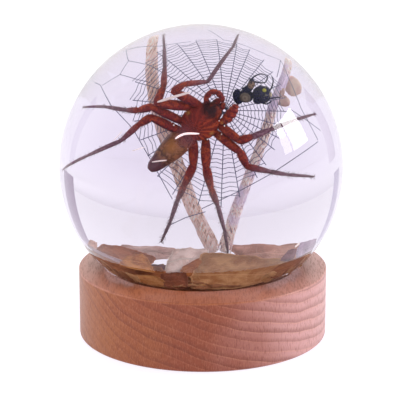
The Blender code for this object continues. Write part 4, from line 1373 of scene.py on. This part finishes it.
class RESIN_OT_leaves(bpy.types.Operator):
    """Lay the bed of dead leaves"""

    bl_idname = "resin.leaves"
    bl_label = "Leaf Bed"

    def execute(self, context):
        for seed, name in enumerate(LEAVES):
            build_leaf(name, seed)
        for seed, name in enumerate(TORN_LEAVES, TORN_SEED):
            build_torn_leaf(name, seed)
        for litter in LITTERS:
            build_litter(*litter)
        return {"FINISHED"}


class RESIN_OT_fly(bpy.types.Operator):
    """Model the fly that the web caught"""

    bl_idname = "resin.fly"
    bl_label = "Fly"

    def execute(self, context):
        build_fly()
        return {"FINISHED"}


class RESIN_OT_petals(bpy.types.Operator):
    """Model the dried petals"""

    bl_idname = "resin.petals"
    bl_label = "Petals"

    def execute(self, context):
        build_petals()
        return {"FINISHED"}


class RESIN_OT_film(bpy.types.Operator):
    """Trap the film of air by the spider, and add the painted highlights"""

    bl_idname = "resin.film"
    bl_label = "Air Film"

    def execute(self, context):
        build_film()
        build_glints()
        return {"FINISHED"}


class RESIN_OT_stage(bpy.types.Operator):
    """Set the pale floor, the backdrop, the lamps and the camera"""

    bl_idname = "resin.stage"
    bl_label = "Stage"

    def execute(self, context):
        settings = context.scene.resin_stage_settings
        add_floor()
        add_cards()
        add_world()
        add_lamps()
        add_camera(settings)
        return {"FINISHED"}


OPERATORS = (RESIN_OT_base, RESIN_OT_spider, RESIN_OT_web, RESIN_OT_twigs, RESIN_OT_fly, RESIN_OT_petals,
             RESIN_OT_leaves, RESIN_OT_film, RESIN_OT_globe, RESIN_OT_stage)


class RESIN_PT_panel(bpy.types.Panel):
    """Lists the steps in the order they run"""

    bl_idname = "RESIN_PT_panel"
    bl_label = "Resin Globe"
    bl_space_type = "VIEW_3D"
    bl_region_type = "UI"
    bl_category = "Resin Globe"

    def draw(self, context):
        for operator in OPERATORS:
            self.layout.operator(operator.bl_idname)
        for name, group in SETTINGS.items():
            box = self.layout.box()
            for key in group.__annotations__:
                box.prop(getattr(context.scene, name), key)


# ---- Stage ----
def add_floor():
    bm = bmesh.new()
    bmesh.ops.create_circle(bm, cap_ends=True, segments=96, radius=FLOOR_RADIUS)
    paint = Paint("pale_floor", Base_Color=(FLOOR_GREY, FLOOR_GREY, FLOOR_GREY, 1.0), Roughness=0.7,
                  Specular_IOR_Level=0.0, Emission_Strength=FLOOR_GLOW)
    # Painted shadow: the floor glows dimmer close to the object.
    far = paint.distance(paint.place(), (0.0, 0.0, 0.0)).rise(*FLOOR_FADE)
    paint.feed("Emission Color", paint.mix(far, FLOOR_NEAR, FLOOR_FAR))
    floor = make_object(bm, "floor", paint)


def add_world():
    """A bright backdrop all round. As a lamp and in reflections it is dimmer on the front side."""
    world = bpy.data.worlds.new("studio")
    world.use_nodes = True
    paint = Nodes(world.node_tree)
    where = paint.node("ShaderNodeTexCoord", {}, {}, "Generated")
    ahead = paint.axis(where, "Y")
    higher = paint.axis(where, "Z").rise(0.0, 0.3) * HIGH_LIGHT
    front = FRONT_LIGHT + (1.0 - paint.axis(where, "Z").rise(0.0, 0.18)) * (HORIZON_LIGHT - FRONT_LIGHT)
    light = front + (higher + BACKDROP_LIGHT - front) * ahead.rise(-0.5, 0.5)
    looked_at = paint.node("ShaderNodeLightPath", {}, {}, "Is Camera Ray")
    looked_at = looked_at + paint.node("ShaderNodeLightPath", {}, {}, "Is Transmission Ray")
    bounced = paint.node("ShaderNodeLightPath", {}, {}, "Diffuse Depth").math("MINIMUM", 1.0)
    light = light + (higher + BACKDROP_LIGHT - light) * looked_at * (1.0 - bounced)
    background = world.node_tree.nodes["Background"]
    background.inputs["Color"].default_value = (1.0, 1.0, 1.0, 1.0)
    world.node_tree.links.new(light.socket, background.inputs["Strength"])
    bpy.context.scene.world = world


def add_cards():
    """A grey-mauve card on either side behind the object, which the globe's edges show."""
    for number, (bearing, width, colour) in enumerate(CARDS):
        away = Vector((sin(bearing), cos(bearing), 0.0)) * CARD_DISTANCE
        lay = Matrix.Translation(away + Vector((0.0, 0.0, CARD_HEIGHT / 2.0)))
        lay = lay @ Matrix.Rotation(-bearing, 4, "Z") @ Matrix.Rotation(radians(90.0), 4, "X")
        bm = bmesh.new()
        bmesh.ops.create_grid(bm, size=0.5, matrix=lay @ Matrix.Diagonal((width, CARD_HEIGHT, 1.0, 1.0)))
        name = f"grey_card_{number}"
        card = make_object(bm, name, Paint(name, Base_Color=(*colour, 1.0), Roughness=0.9))


def add_area(name, place, target, size, power):
    lamp = bpy.data.lights.new(name, "AREA")
    lamp.shape = "RECTANGLE"
    lamp.size, lamp.size_y = size
    lamp.energy = power
    carrier = bpy.data.objects.new(name, lamp)
    carrier.location = place
    carrier.rotation_euler = (Vector(target) - Vector(place)).to_track_quat("-Z", "Y").to_euler()
    bpy.context.scene.collection.objects.link(carrier)
    return carrier


def add_lamps():
    """A window of four panes on the right, which shows in the globe, and soft lamps that don't."""
    middle = GLOBE_CENTRE * MM
    for column, (turn, width) in enumerate(WINDOW_COLUMNS):
        for row, (rise, height) in enumerate(WINDOW_ROWS):
            ahead = Vector((sin(turn) * cos(rise), cos(turn) * cos(rise), sin(rise)))
            size = (WINDOW_DISTANCE * width * cos(rise), WINDOW_DISTANCE * height)
            power = WINDOW_RADIANCE[row][column] * pi * size[0] * size[1]
            pane = add_area(f"window_{column}_{row}", middle + ahead * WINDOW_DISTANCE, middle, size, power)
            pane.visible_diffuse = pane.visible_transmission = False
    for name, (place, size, power, target) in LAMPS.items():
        lamp = add_area(name, place, target, size, power)
        lamp.visible_camera = lamp.visible_glossy = lamp.visible_transmission = False


def add_camera(settings):
    data = bpy.data.cameras.new("camera")
    data.lens = settings.lens
    data.sensor_width = 36.0
    data.clip_start = 0.01
    camera = bpy.data.objects.new("camera", data)
    back = Vector((0.0, -cos(settings.elevation), sin(settings.elevation)))
    camera.location = CAMERA_TARGET * MM + back * settings.distance
    camera.rotation_euler = (-back).to_track_quat("-Z", "Y").to_euler()
    bpy.context.scene.collection.objects.link(camera)
    bpy.context.scene.camera = camera


def register():
    for group in SETTINGS.values():
        bpy.utils.register_class(group)
    for operator in OPERATORS:
        bpy.utils.register_class(operator)
    bpy.utils.register_class(RESIN_PT_panel)
    for name, group in SETTINGS.items():
        setattr(bpy.types.Scene, name, PointerProperty(type=group))


def unregister():
    for name in SETTINGS:
        delattr(bpy.types.Scene, name)
    for group in (RESIN_PT_panel, *reversed(OPERATORS), *SETTINGS.values()):
        bpy.utils.unregister_class(group)


def main():
    register()
    bpy.context.scene.view_settings.view_transform = "Standard"
    for operator in OPERATORS:
        space, name = operator.bl_idname.split(".")
        getattr(getattr(bpy.ops, space), name)()


if __name__ == "__main__":
    main()
